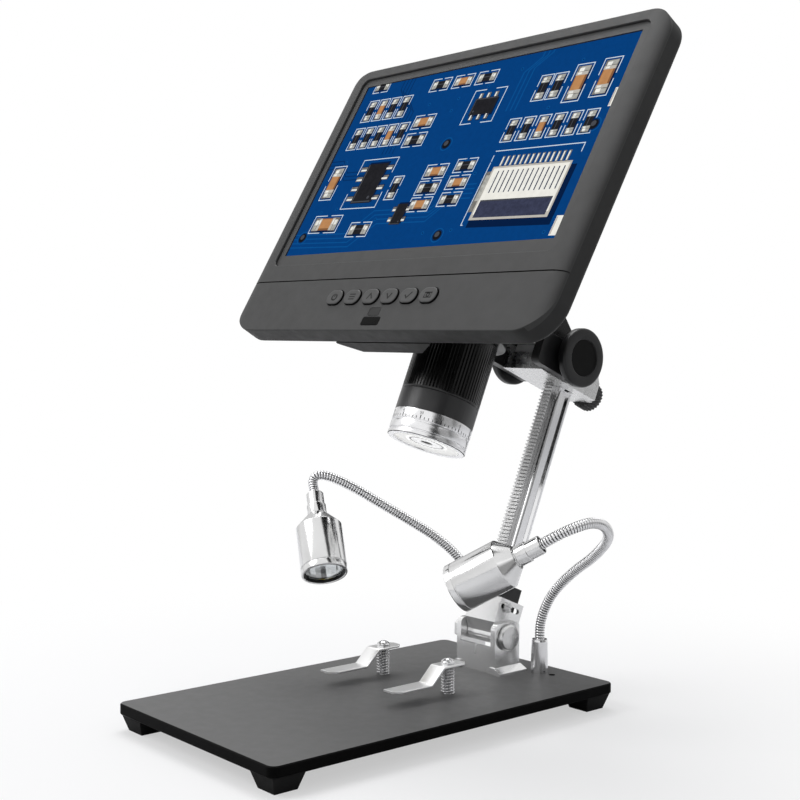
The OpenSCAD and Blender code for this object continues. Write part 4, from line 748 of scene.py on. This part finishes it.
def make_focus_ring():
    """Grip ring with rounded ribs, plain at both ends."""
    count = RING_RIBS * RIB_POINTS
    angles = [TAU * i / count for i in range(count)]
    waves = [sin(pi * (i % RIB_POINTS / RIB_POINTS - 0.5) / 0.5) for i in range(count)]
    grooves = [GROOVE * max(0.0, wave) ** 0.5 for wave in waves]
    levels = [(RING_LOW, 0.985, 0), (RING_LOW + 0.4, 1, 0), (RING_LOW + 1.0, 1, 0), (RING_LOW + 1.3, 1, 1),
              (RING_HIGH - 1.3, 1, 1), (RING_HIGH - 1.0, 1, 0), (RING_HIGH - 0.4, 1, 0), (RING_HIGH, 0.985, 0)]
    rings = [[(*polar((BARREL_R - groove * depth) * scale, a), z) for a, groove in zip(angles, grooves)]
             for z, scale, depth in levels]
    rings += [[(*polar(TUBE_R, a), z) for a in angles] for z in (RING_HIGH, RING_LOW)]
    rings.append(rings[0])
    build("grip_ring", skin(rings, False), LENS, "anodised", "focus_ring", ["focus_ring"], 40)


def on_barrel(x, height, angle):
    """Point of the ink on the barrel, x along the arc from an angle."""
    return (*polar(INK_R, angle + x / BARREL_R), NOSE_Z + height)


def number_shape(value, angle):
    """Plain number on the barrel, as flat faces bent round it."""
    curve = bpy.data.curves.new("digits", "FONT")
    curve.body = str(value)
    curve.size = 1.9
    curve.align_x = "CENTER"
    text = add_object("digits", curve)
    mesh = bpy.data.meshes.new_from_object(text.evaluated_get(bpy.context.evaluated_depsgraph_get()))
    shape = ([on_barrel(v.co.x, 9.85 + v.co.y, angle) for v in mesh.vertices],
             [tuple(p.vertices) for p in mesh.polygons])
    bpy.data.objects.remove(text)
    bpy.data.meshes.remove(mesh)
    bpy.data.curves.remove(curve)
    return shape


def make_nose():
    """Bright end of the barrel, with its grooves, and ticks with plain numbers round the scale."""
    r, z = BARREL_R, NOSE_Z
    outline = [(16.1, z), (18.9, z), (r, z + 0.3), (r, z + 2.0), (18.5, z + 2.0), (18.5, z + 2.7), (r, z + 2.7),
               (r, z + 6.3), (18.5, z + 6.3), (18.5, z + 7.2), (r, z + 7.2), (r, z + 12.1), (18.95, z + 12.3),
               (TUBE_R, z + 12.3), (TUBE_R, z + 0.9), (16.1, z + 0.9)]
    shape = lathe(rounded(outline, [0.2, 0.15, 0.15, 0.12, 0, 0, 0.12, 0.12, 0, 0, 0.12, 0.15, 0.1, 0, 0, 0], 3), 128)
    shell = build("nose_shell", shape, LENS, "turned_bright", "head", ["lens_nose"], 28, axial=heights(shape))
    # painted shade: the downward chamfer at the nose's bottom rim is painted near black
    darken(shell, LENS, lambda p, normal: p.z < z + 0.27 and p.xy.length > 18.85)
    angles = [TAU * i / TICKS for i in range(TICKS)]
    ticks = []
    for i, angle in enumerate(angles):
        half, tall = (0.22, 2.0) if i % TICKS_A_NUMBER == 0 else (0.16, 1.2)
        ticks.append(([on_barrel(x, h, angle) for h in (7.5, 7.5 + tall) for x in (-half, half)], [(0, 1, 3, 2)]))
    build("nose_ticks", joined(ticks), LENS, "tick", "head")
    numbers = [number_shape(i, angles[i]) for i in range(0, TICKS, TICKS_A_NUMBER)]
    build("nose_digits", joined(numbers), LENS, "tick", "head")


make_focus_ring()
make_nose()

# ---- screen housing: depths run back from its front face ----
W, H, R_LOW, R_TOP = 219.0, 163.9, 17.0, 14.0
BEZEL_T, BEZEL_WALL, BEZEL_SIDE = 3.2, 2.0, 3.6
BEZEL_EDGE = 0.5
ROUND_IN, ROUND_DEEP, ROUND_STEPS = 9.0, 2.9, 20
ACTIVE = (-94.35, 45.2, 94.35, 153.6)
RIM = (-98.65, 38.5, 98.65, 158.1)
RIM_R = 4.5
BUTTONS = {name: -32.5 + 13.33 * i for i, name in enumerate(("power", "menu", "up", "down", "ok", "capture"))}
BUTTON_Y = 17.9
BUTTON_HOLE, BUTTON_KEY = (11.8, 8.4), (11.4, 8)
SEAM_Y, SEAM_W, SEAM_DEEP = 28.3, 0.6, 0.7
WINDOW_R = 0.9
WINDOWS = [("lamp", (-2.55, 7.9, 5.35, 12.0), "tinted", ["chin_windows"]),
           ("sensor", (-4.6, 2.75, 7.8, 7.15), "window", ())]


def slab_ring(inset, depth):
    """Outline of the screen housing from its bottom edge up, drawn in by inset."""
    steps = 14
    out = []
    for x, y, r, start in ((1, 0, R_LOW, -90), (1, 1, R_TOP, 0), (-1, 1, R_TOP, 90), (-1, 0, R_LOW, 180)):
        for k in range(steps + 1):
            px, py = polar(max(r - inset, 0.2), radians(start + 90 * k / steps))
            out.append((x * (W / 2 - r) + px, (H - r if y else r) + py, depth))
    return out


def rim_ring(limits, radius, steps, grow, depth):
    """Rounded rectangle, let out by grow."""
    x0, y0, x1, y1 = limits
    outline = rounded(box(x0 - grow, y0 - grow, x1 + grow, y1 + grow), radius + grow, steps)
    return [(x, y, depth) for x, y in outline]


def pill_ring(x, size, grow, depth):
    """Outline of a button or its hole, let out by grow."""
    steps = 14
    w, h = size[0] + 2 * grow, size[1] + 2 * grow
    out = []
    for side, start in ((1, -90), (-1, 90)):
        for k in range(steps + 1):
            px, py = polar(h / 2, radians(start + 180 * k / steps))
            out.append((x + side * (w - h) / 2 + px, BUTTON_Y + py, depth))
    return out


def loft(levels, ring, *sizes):
    """Closed surface over one outline at several levels of (grow, depth)."""
    return skin([ring(*sizes, grow, depth) for grow, depth in levels])


def make_bezel():
    """Front shell: rolled back at both sides, straight above and below, with its recess, keyholes and seam."""
    steps = 5
    rings = []
    for k in range(steps + 1):
        x, y = polar(BEZEL_EDGE, QUARTER * k / steps)
        rings.append(slab_ring(BEZEL_EDGE - y, BEZEL_EDGE - x))
    rings.append(slab_ring(0.0, BEZEL_T))
    obj = build("bezel_shell", skin(rings), SCREEN, "grey", "head", ["front_bezel"], 25)
    roll = []
    for k in range(ROUND_STEPS + 1):
        a = QUARTER * k / ROUND_STEPS
        roll.append((W / 2 - ROUND_IN + ROUND_IN * sin(a), ROUND_DEEP - ROUND_DEEP * cos(a)))
    section = roll + [(W / 2, BEZEL_T + 1), (-W / 2, BEZEL_T + 1)] + [(-x, d) for x, d in reversed(roll)]
    cut(obj, SCREEN, [bar(section, -1, H + 1)], "INTERSECT")
    recess = [(0.3, -1.0), (0.3, -0.02), (0.22, 0.06), (0.06, 0.2), (0.0, 0.3), (0.0, 4.0)]
    keyhole = [(0.25, -1.0), (0.25, -0.02), (0.1, 0.08), (0.0, 0.25), (0.0, 4.0)]
    opening = [(0.2, -1.0), (0.2, -0.02), (0.1, 0.12), (0.1, BEZEL_WALL + 0.1)]
    cutters = [loft([(BEZEL_SIDE, BEZEL_WALL), (BEZEL_SIDE, 7.0)], slab_ring), loft(recess, rim_ring, RIM, RIM_R, 8)]
    cutters += [loft(keyhole, pill_ring, x, BUTTON_HOLE) for x in BUTTONS.values()]
    cutters += [loft(opening, rim_ring, limits, WINDOW_R, 4) for _, limits, _, _ in WINDOWS]
    groove = [(x, d + SEAM_DEEP) for x, d in roll] + [(W / 2 + 1, 4.4), (W / 2 + 1, -1)]
    groove += [(-x, d) for x, d in reversed(groove)]
    cutters.append(bar(groove, SEAM_Y, SEAM_Y + SEAM_W))
    cut(obj, SCREEN, cutters)
    finish_mesh(obj.data, 25)
    # painted shade: the walls and floor of the seam groove are painted near black
    darken(obj, SCREEN, lambda p, normal: SEAM_Y - 0.01 < p.y < SEAM_Y + SEAM_W + 0.01 and p.z < 1.9
           and abs(p.x) < W / 2 - 6 and not (abs(normal.z) > 0.1 and p.z < 0.1))
    # painted shade: the downward faces along the bottom edge take the darker copy of the housing grey
    darken(obj, SCREEN, lambda p, normal: normal.y < -0.9 and p.y < 1.5, "shaded")
    weighted = obj.modifiers.new("weighted", "WEIGHTED_NORMAL")
    weighted.keep_sharp = True


def make_windows():
    """Indicator window, a shade darker than the face, and the black infra-red window below it."""
    for name, limits, finish, stands_for in WINDOWS:
        shape = loft([(-0.3, 0.02), (-0.1, 0.04), (0.0, 0.14), (0.0, 2.0)], rim_ring, limits, WINDOW_R, 4)
        build(f"window_{name}", shape, SCREEN, finish, "head", stands_for, 40)


def make_buttons():
    """Pill-shaped keys, softly domed, with a flange behind the bezel and a symbol each."""
    levels = [(-2.9, -0.78), (-2.4, -0.80), (-1.4, -0.86), (-0.75, -0.9), (-0.4, -0.84), (-0.15, -0.66),
              (-0.02, -0.4), (0, -0.2), (0, 2.1), (0.8, 2.1), (0.8, 2.9)]
    for name, x in BUTTONS.items():
        shape = loft(levels, pill_ring, x, BUTTON_KEY)
        key = build(f"key_{name}", shape, SCREEN, "button", f"button_{name}", [f"button_{name}"], 40)
        # painted shade: the key's sides are painted near black, for the shadow round its edges
        darken(key, SCREEN, lambda p, normal: abs(normal.z) < 0.75)
        at = SCREEN @ shift(x, BUTTON_Y, GLYPH_DEPTH) @ Matrix.Scale(GLYPH_SCALE, 4)
        build(f"glyph_{name}", joined(GLYPHS[name]), at, "glyph", f"button_{name}")


def stroke(points, width, closed=False):
    """Flat line of even width through 2D points."""
    parts = []
    pts = list(points) + ([points[0]] if closed else [])
    for a, b in zip(pts, pts[1:]):
        d = (Vector(b) - Vector(a)).normalized() * width / 2
        n = Vector((-d.y, d.x))
        a, b = Vector(a) - d, Vector(b) + d
        parts.append(([(*(a + n), 0), (*(a - n), 0), (*(b - n), 0), (*(b + n), 0)], [(0, 1, 2, 3)]))
    return joined(parts)


GLYPH_SCALE, GLYPH_DEPTH = 1.45, -0.82
GLYPHS = {
    "power": [stroke([polar(1.15, radians(125 + 290 * k / 14)) for k in range(15)], 0.44),
              stroke([(0, 0.35), (0, 1.5)], 0.44)],
    "menu": [stroke([(-1.2, h), (1.2, h)], 0.42) for h in (-0.9, 0, 0.9)],
    "up": [stroke([(-1.1, -0.75), (0, 0.95), (1.1, -0.75)], 0.5)],
    "down": [stroke([(-1.1, 0.75), (0, -0.95), (1.1, 0.75)], 0.5)],
    "ok": [stroke([(-1.25, 0.0), (-0.35, -0.95), (1.35, 0.95)], 0.5)],
    "capture": [stroke(box(-1.5, -0.95, 1.5, 0.8), 0.38, True),
                moved(stroke([polar(0.62, TAU * k / 16) for k in range(16)], 0.36, True), shift(0, -0.05, 0))],
}


make_bezel()
make_windows()
make_buttons()

# ---- picture on the screen: a generic circuit board seen through the lens ----
PALETTE = {
    "mask": (2, 62, 124), "trace": (6, 78, 142), "deep": (2, 48, 100), "pad": (172, 172, 166),
    "bright": (236, 236, 230), "hole": (20, 22, 26), "body": (34, 34, 38), "body_edge": (72, 74, 80),
    "beige": (186, 134, 88), "beige_dark": (132, 92, 60), "solder": (120, 118, 114), "silk": (206, 220, 232),
    "cream": (238, 236, 228), "cream_dark": (188, 184, 176), "shadow": (2, 28, 66), "slate": (58, 62, 84),
}
UNEVEN = {"pad": 0.30, "bright": 0.14, "solder": 0.42, "body": 0.22, "slate": 0.25, "beige": 0.10}
PICTURE_DEPTH, LAYER_STEP = 1.96, 0.012
SILK_W = 0.5


def picture_material(name):
    """Light of one colour from the screen, mottled by how uneven that colour is."""
    n = Nodes(f"picture_{name}")
    color = srgb(*PALETTE[name])
    vary = UNEVEN.get(name, 0.06)
    tone = n.wander(n.noise(380, 5, 0.7), shade(color, 1 - vary), shade(color, 1 + vary * 0.6), 0.35, 0.65)
    return n.shader(Base_Color=grey(0.002), Roughness=0.35, Specular_IOR_Level=0.0, IOR=1.02, Emission_Color=tone,
                    Emission_Strength=1.0)


def placer(x, y, angle):
    """Gives a function that puts points of a frame turned about x, y in their place."""
    c, s = cos(angle), sin(angle)
    return lambda px, py: (x + px * c - py * s, y + px * s + py * c)


class Picture:
    """Flat coloured shapes laid over each other on the lit area, cut off at its edges."""

    def __init__(self):
        self.layers = {}
        self.place = placer(0, (ACTIVE[1] + ACTIVE[3]) / 2, radians(-2))

    def shape(self, color, level, points, turned=True):
        pts = [self.place(*p) for p in points] if turned else points
        for side, limit in enumerate(ACTIVE):
            axis, keep, out = side % 2, 1 if side < 2 else -1, []
            for a, b in zip(pts, pts[1:] + pts[:1]):
                da, db = (a[axis] - limit) * keep, (b[axis] - limit) * keep
                if da >= 0:
                    out.append(a)
                if (da >= 0) != (db >= 0):
                    t = da / (da - db)
                    out.append((a[0] + (b[0] - a[0]) * t, a[1] + (b[1] - a[1]) * t))
            pts = out
            if len(pts) < 3:
                return
        flat = [(x, y, PICTURE_DEPTH - LAYER_STEP * level) for x, y in pts]
        self.layers.setdefault(color, []).append((flat, [tuple(range(len(flat)))]))

    def rect(self, color, level, x, y, w, h, angle=0.0):
        at = placer(x, y, angle)
        self.shape(color, level, [at(px * w / 2, py * h / 2) for px, py in box(-1, -1, 1, 1)])

    def disc(self, color, level, x, y, r, sides=20):
        edge = [polar(r, TAU * k / sides) for k in range(sides)]
        self.shape(color, level, [(x + px, y + py) for px, py in edge])

    def line(self, color, level, points, width):
        pts = [Vector(p) for p in points]
        for a, b in zip(pts, pts[1:]):
            d = b - a
            self.rect(color, level, *((a + b) / 2), d.length + width * 0.8, width, atan2(d.y, d.x))

    def inlay(self, x, y, w, h, angle, rows, side=1):
        """Rectangles on a part, each from colour, level, and its centre and size as shares of the part's size."""
        at = placer(x, y, angle)
        for color, level, px, py, pw, ph in rows:
            self.rect(color, level, *at(side * px * w, py * h), pw * w, ph * h, angle)

    def brackets(self, x, y, w, h, angle, share=0.42):
        """Printed outline: a squared bracket round each end, open between them."""
        at = placer(x, y, angle)
        for end in (-w / 2, w / 2):
            inner = end * (1 - 2 * share)
            self.line("silk", 2, [at(inner, h / 2), at(end, h / 2), at(end, -h / 2), at(inner, -h / 2)], SILK_W)

    def chip(self, x, y, w, h, upright, beige):
        """Small two-ended part: printed outline, shadow, solder, metal ends, body and highlights."""
        place = x, y, w, h, QUARTER * upright
        under, top, cap, top_h = ("beige_dark", "beige", "cream_dark", 0.76) if beige else (
            "body", "body_edge", "pad", 0.10)
        self.brackets(x, y, w * 1.62, h + 3.0, QUARTER * upright)
        self.rect("shadow", 3, x + 0.5, y - 0.6, w * 1.42, h * 1.16, QUARTER * upright)
        for q in (-1, 1):
            self.inlay(*place, [("solder", 4, 0.52, 0, 0.40, 1.08), ("pad", 5, 0.60, -0.1, 0.20, 0.8),
                                ("bright", 6, 0.56, 0.16, 0.16, 0.4)], q)
        self.inlay(*place, [(under, 6, 0, 0, 0.70, 1), (top, 7, 0, 0.05, 0.64, top_h)])
        for q in (-1, 1):
            self.inlay(*place, [(cap, 7, 0.39, 0, 0.15, 0.98), ("bright", 8, 0.40, 0.2, 0.09, 0.34)], q)

    def package(self, x, y, w, h, angle, legs):
        """Moulded part with legs down two sides."""
        at = placer(x, y, angle)
        pitch = w / legs
        for k in range(legs):
            px = (k + 0.5) * pitch - w / 2
            for q in (-1, 1):
                self.rect("shadow", 3, *at(px + 0.3, q * h * 0.64 - 0.4), pitch * 0.5, h * 0.34, angle)
                self.inlay(*at(px, 0), pitch, h, angle, [("solder", 4, 0, q * 0.63, 0.46, 0.34),
                                                         ("bright", 5, -0.08, q * 0.63, 0.16, 0.28)])
        self.rect("shadow", 4, *at(0.7, -0.9), w * 1.02, h * 1.02, angle)
        self.inlay(x, y, w, h, angle, [("body", 6, 0, 0, 1, 1), ("body_edge", 7, 0, 0.44, 0.96, 0.05),
                                       ("body_edge", 7, -0.46, 0, 0.03, 0.9)])
        self.disc("body_edge", 8, *at(-w * 0.36, -h * 0.28), min(w, h) * 0.06)


def draw_board(pic):
    """Bare board with its tracks, small vias and four plated holes."""
    rng = random.Random(7)
    pic.shape("mask", 0, box(*ACTIVE), turned=False)
    for k in range(4):
        y = -52 + k * 2.6
        pic.line("trace", 1, [(-110, y), (-44 - k * 2.2, y), (-30 - k * 2.2, y + 13), (6, y + 13), (18 + k, y + 25),
                              (30, y + 25)], 0.7)
    for k in range(4):
        x = -66 + k * 2.8
        pic.line("deep", 1, [(x, 70), (x, 46 - k * 1.5), (x + 12, 34 - k * 1.5), (x + 12, 4)], 0.7)
    for k in range(3):
        x = 34 + k * 3.0
        pic.line("trace", 1, [(x, 66), (x, 52 + k), (x - 8, 44 + k), (x - 8, 22)], 0.8)
    for k in range(3):
        y = 2 - k * 2.4
        pic.line("deep", 1, [(-110, y), (-84, y), (-76, y - 8), (-60, y - 8)], 0.7)
    for _ in range(34):
        x, y = rng.uniform(-92, 92), rng.uniform(-52, 52)
        pic.disc("trace", 1, x, y, 1.0, 14)
        pic.disc("deep", 2, x, y, 0.5, 12)
    for x, y in ((-86, -46), (-6, 6), (88, 8), (20, -47)):
        pic.disc("trace", 2, x, y, 4.0)
        pic.disc("deep", 3, x, y, 3.3)
        pic.disc("hole", 4, x, y, 2.6)
        pic.disc("body_edge", 5, x - 0.4, y + 0.5, 1.5)


def draw_connector(pic):
    """Pale connector with its row of contacts and a printed outline."""
    for row in (("shadow", 3, 63.0, -28.0, 52, 31), ("solder", 4, 36.5, -24, 6, 22), ("pad", 5, 36.0, -22, 3.4, 14),
                ("cream_dark", 5, 61, -25, 49, 29), ("cream", 6, 61, -24, 47, 25), ("slate", 7, 61, -33.5, 45, 9.5),
                ("body_edge", 8, 61, -29.2, 45, 0.7)):
        pic.rect(*row)
    for k in range(14):
        x = 40.5 + k * 3.15
        pic.rect("shadow", 7, x + 0.9, -19, 0.7, 12)
        pic.rect("bright", 8, x, -19, 1.1, 12)
        pic.rect("solder", 4, x, -8.0, 1.7, 6.5)
        pic.rect("bright", 5, x - 0.2, -7.6, 0.8, 4.8)
    pic.line("silk", 2, [(33, -4), (33, -42), (34, -42)], SILK_W)
    pic.line("silk", 2, [(33, -1.5), (88, -1.5), (88, -6)], SILK_W)


def draw_parts(pic):
    """Moulded parts, rows of small chips, larger ones, and two pale parts at the right edge."""
    pic.package(-52, -14, 24, 16, QUARTER, 4)
    pic.brackets(-52, -14, 30, 28, QUARTER, 0.3)
    pic.package(8, 27, 16, 10, 0.0, 3)
    pic.brackets(8, 27, 22, 20, 0.0, 0.34)
    pic.package(-16, -34, 12, 8, QUARTER, 2)
    for count, x, step, y, w, h, upright, beige in (
            (5, -84, 9.2, 16, 8.5, 4.6, 1, 3), (4, -84, 9.2, 34, 8.5, 4.6, 1, 1), (6, 36, 9.6, 10, 8.0, 4.4, 1, 2),
            (3, -34, 17, 45, 8.5, 4.6, 0, 1)):
        for k in range(count):
            pic.chip(x + k * step, y, w, h, upright, k == beige)
    for k in range(3):
        pic.chip(-4, -10 - k * 9.5, 9.5, 5.0, 0, k != 1)
        pic.chip(16, -8 - k * 9.5, 8.5, 4.6, 0, k == 1)
    for row in ((-84, -12, 13, 7.2, 1, True), (-72, -38, 14, 7.4, 0, True), (-42, -42, 10, 5.4, 0, False),
                (66, 33, 13, 7.2, 1, True), (82, 34, 13, 7.2, 1, True), (44, 33, 9, 5, 1, False),
                (53, 33, 9, 5, 1, False), (-33, 22, 9.5, 5.2, 0, True), (-33, 11, 9.5, 5.2, 0, False),
                (-30, -18, 8.5, 4.6, 1, False), (-84, 50, 7.5, 4.2, 0, False)):
        pic.chip(*row)
    for y in (-44, 22):
        pic.rect("cream", 5, 93.5, y, 4.5, 10)
        pic.rect("cream_dark", 6, 91.8, y, 0.8, 9)


picture = Picture()
draw_board(picture)
draw_connector(picture)
draw_parts(picture)
for name, shapes in picture.layers.items():
    M[name] = picture_material(name)
    build(f"picture_{name}", joined(shapes), SCREEN, name, "head")

# ---- floor, world, lights: sizes in metres ----
FLOOR_HALF, FLOOR_Z = 1.8, -0.01255
NEAR, FAR, NEAR_GLOW = 0.10, 0.36, 0.52
STUDIO_SIDES = [
    (0.00, 0.75), (0.08, 1.0), (0.20, 0.85), (0.28, 1.0), (0.385, 1.0), (0.400, 0.03), (0.50, 0.045), (0.56, 0.12),
    (0.60, 0.42), (0.64, 0.55), (0.69, 1.0), (0.76, 1.0), (0.79, 0.06), (0.86, 0.04), (0.90, 0.45), (0.95, 0.9),
    (1.0, 0.70)]
STUDIO_TOP = [(0.0, 0.0), (0.42, 0.0), (0.60, 1.0), (1.0, 1.0)]


def make_floor():
    """Pale floor: it keeps the shadow near the object and whitens away from it."""
    mesh = bpy.data.meshes.new("floor")
    corners = box(-FLOOR_HALF, -FLOOR_HALF, FLOOR_HALF, FLOOR_HALF)
    mesh.from_pydata([(x, y, FLOOR_Z) for x, y in corners], [], [(0, 1, 2, 3)])
    floor = add_object("floor", mesh)
    n = Nodes("floor")
    unseen = n.add("BsdfDiffuse", {"Color": grey(0.42)})[0]
    pale = n.add("BsdfDiffuse", {"Color": (0.88, 0.88, 0.89, 1)})[0]
    glow = n.add("Emission", {"Color": grey(1)})[0]
    white = n.spread(n.length(n.coords), NEAR_GLOW, 1.0, NEAR, FAR, interpolation_type="SMOOTHSTEP")
    seen, glossy = n.seen_share()
    mesh.materials.append(n.surface(n.blend(seen, unseen, n.blend(glossy, n.blend(white, pale, glow), pale))))


def make_world():
    """White studio; in reflections it has darker gaps between its soft boxes, so that bright metal reads as metal."""
    n = Nodes("studio", "World")
    place = n.add("TexCoord")["Generated"]
    around = n.add("TexGradient", {"Vector": place}, gradient_type="RADIAL")["Fac"]
    height = n.add("SeparateXYZ", {0: place})["Z"]
    boxes = n.mix(n.ramp(height, STUDIO_TOP), n.ramp(around, STUDIO_SIDES), grey(1))
    seen, glossy = n.seen_share()
    soft = n.add("Background", {"Color": (0.97, 0.98, 1.0, 1), "Strength": 0.42})[0]
    white = n.add("Background", {"Color": n.mix(glossy, grey(1), boxes), "Strength": 1.0})[0]
    scene.world = n.surface(n.blend(seen, soft, white))


def make_light(name, place, target, size, power):
    data = bpy.data.lights.new(name, "AREA")
    data.shape = "RECTANGLE"
    data.size, data.size_y = size
    data.energy = power
    obj = add_object(name, data)
    obj.location = place
    obj.rotation_euler = (Vector(target) - Vector(place)).to_track_quat("-Z", "Y").to_euler()


make_floor()
make_world()
make_light("key", (-0.9, -1.3, 1.5), (0, 0, 0.12), (1.0, 1.0), 13)
make_light("side", (1.4, 0.1, 0.5), (0, 0, 0.15), (0.8, 1.2), 0.9)
make_light("top", (-0.5, 0.3, 1.4), (-0.03, 0, 0.0), (0.9, 0.9), 12)
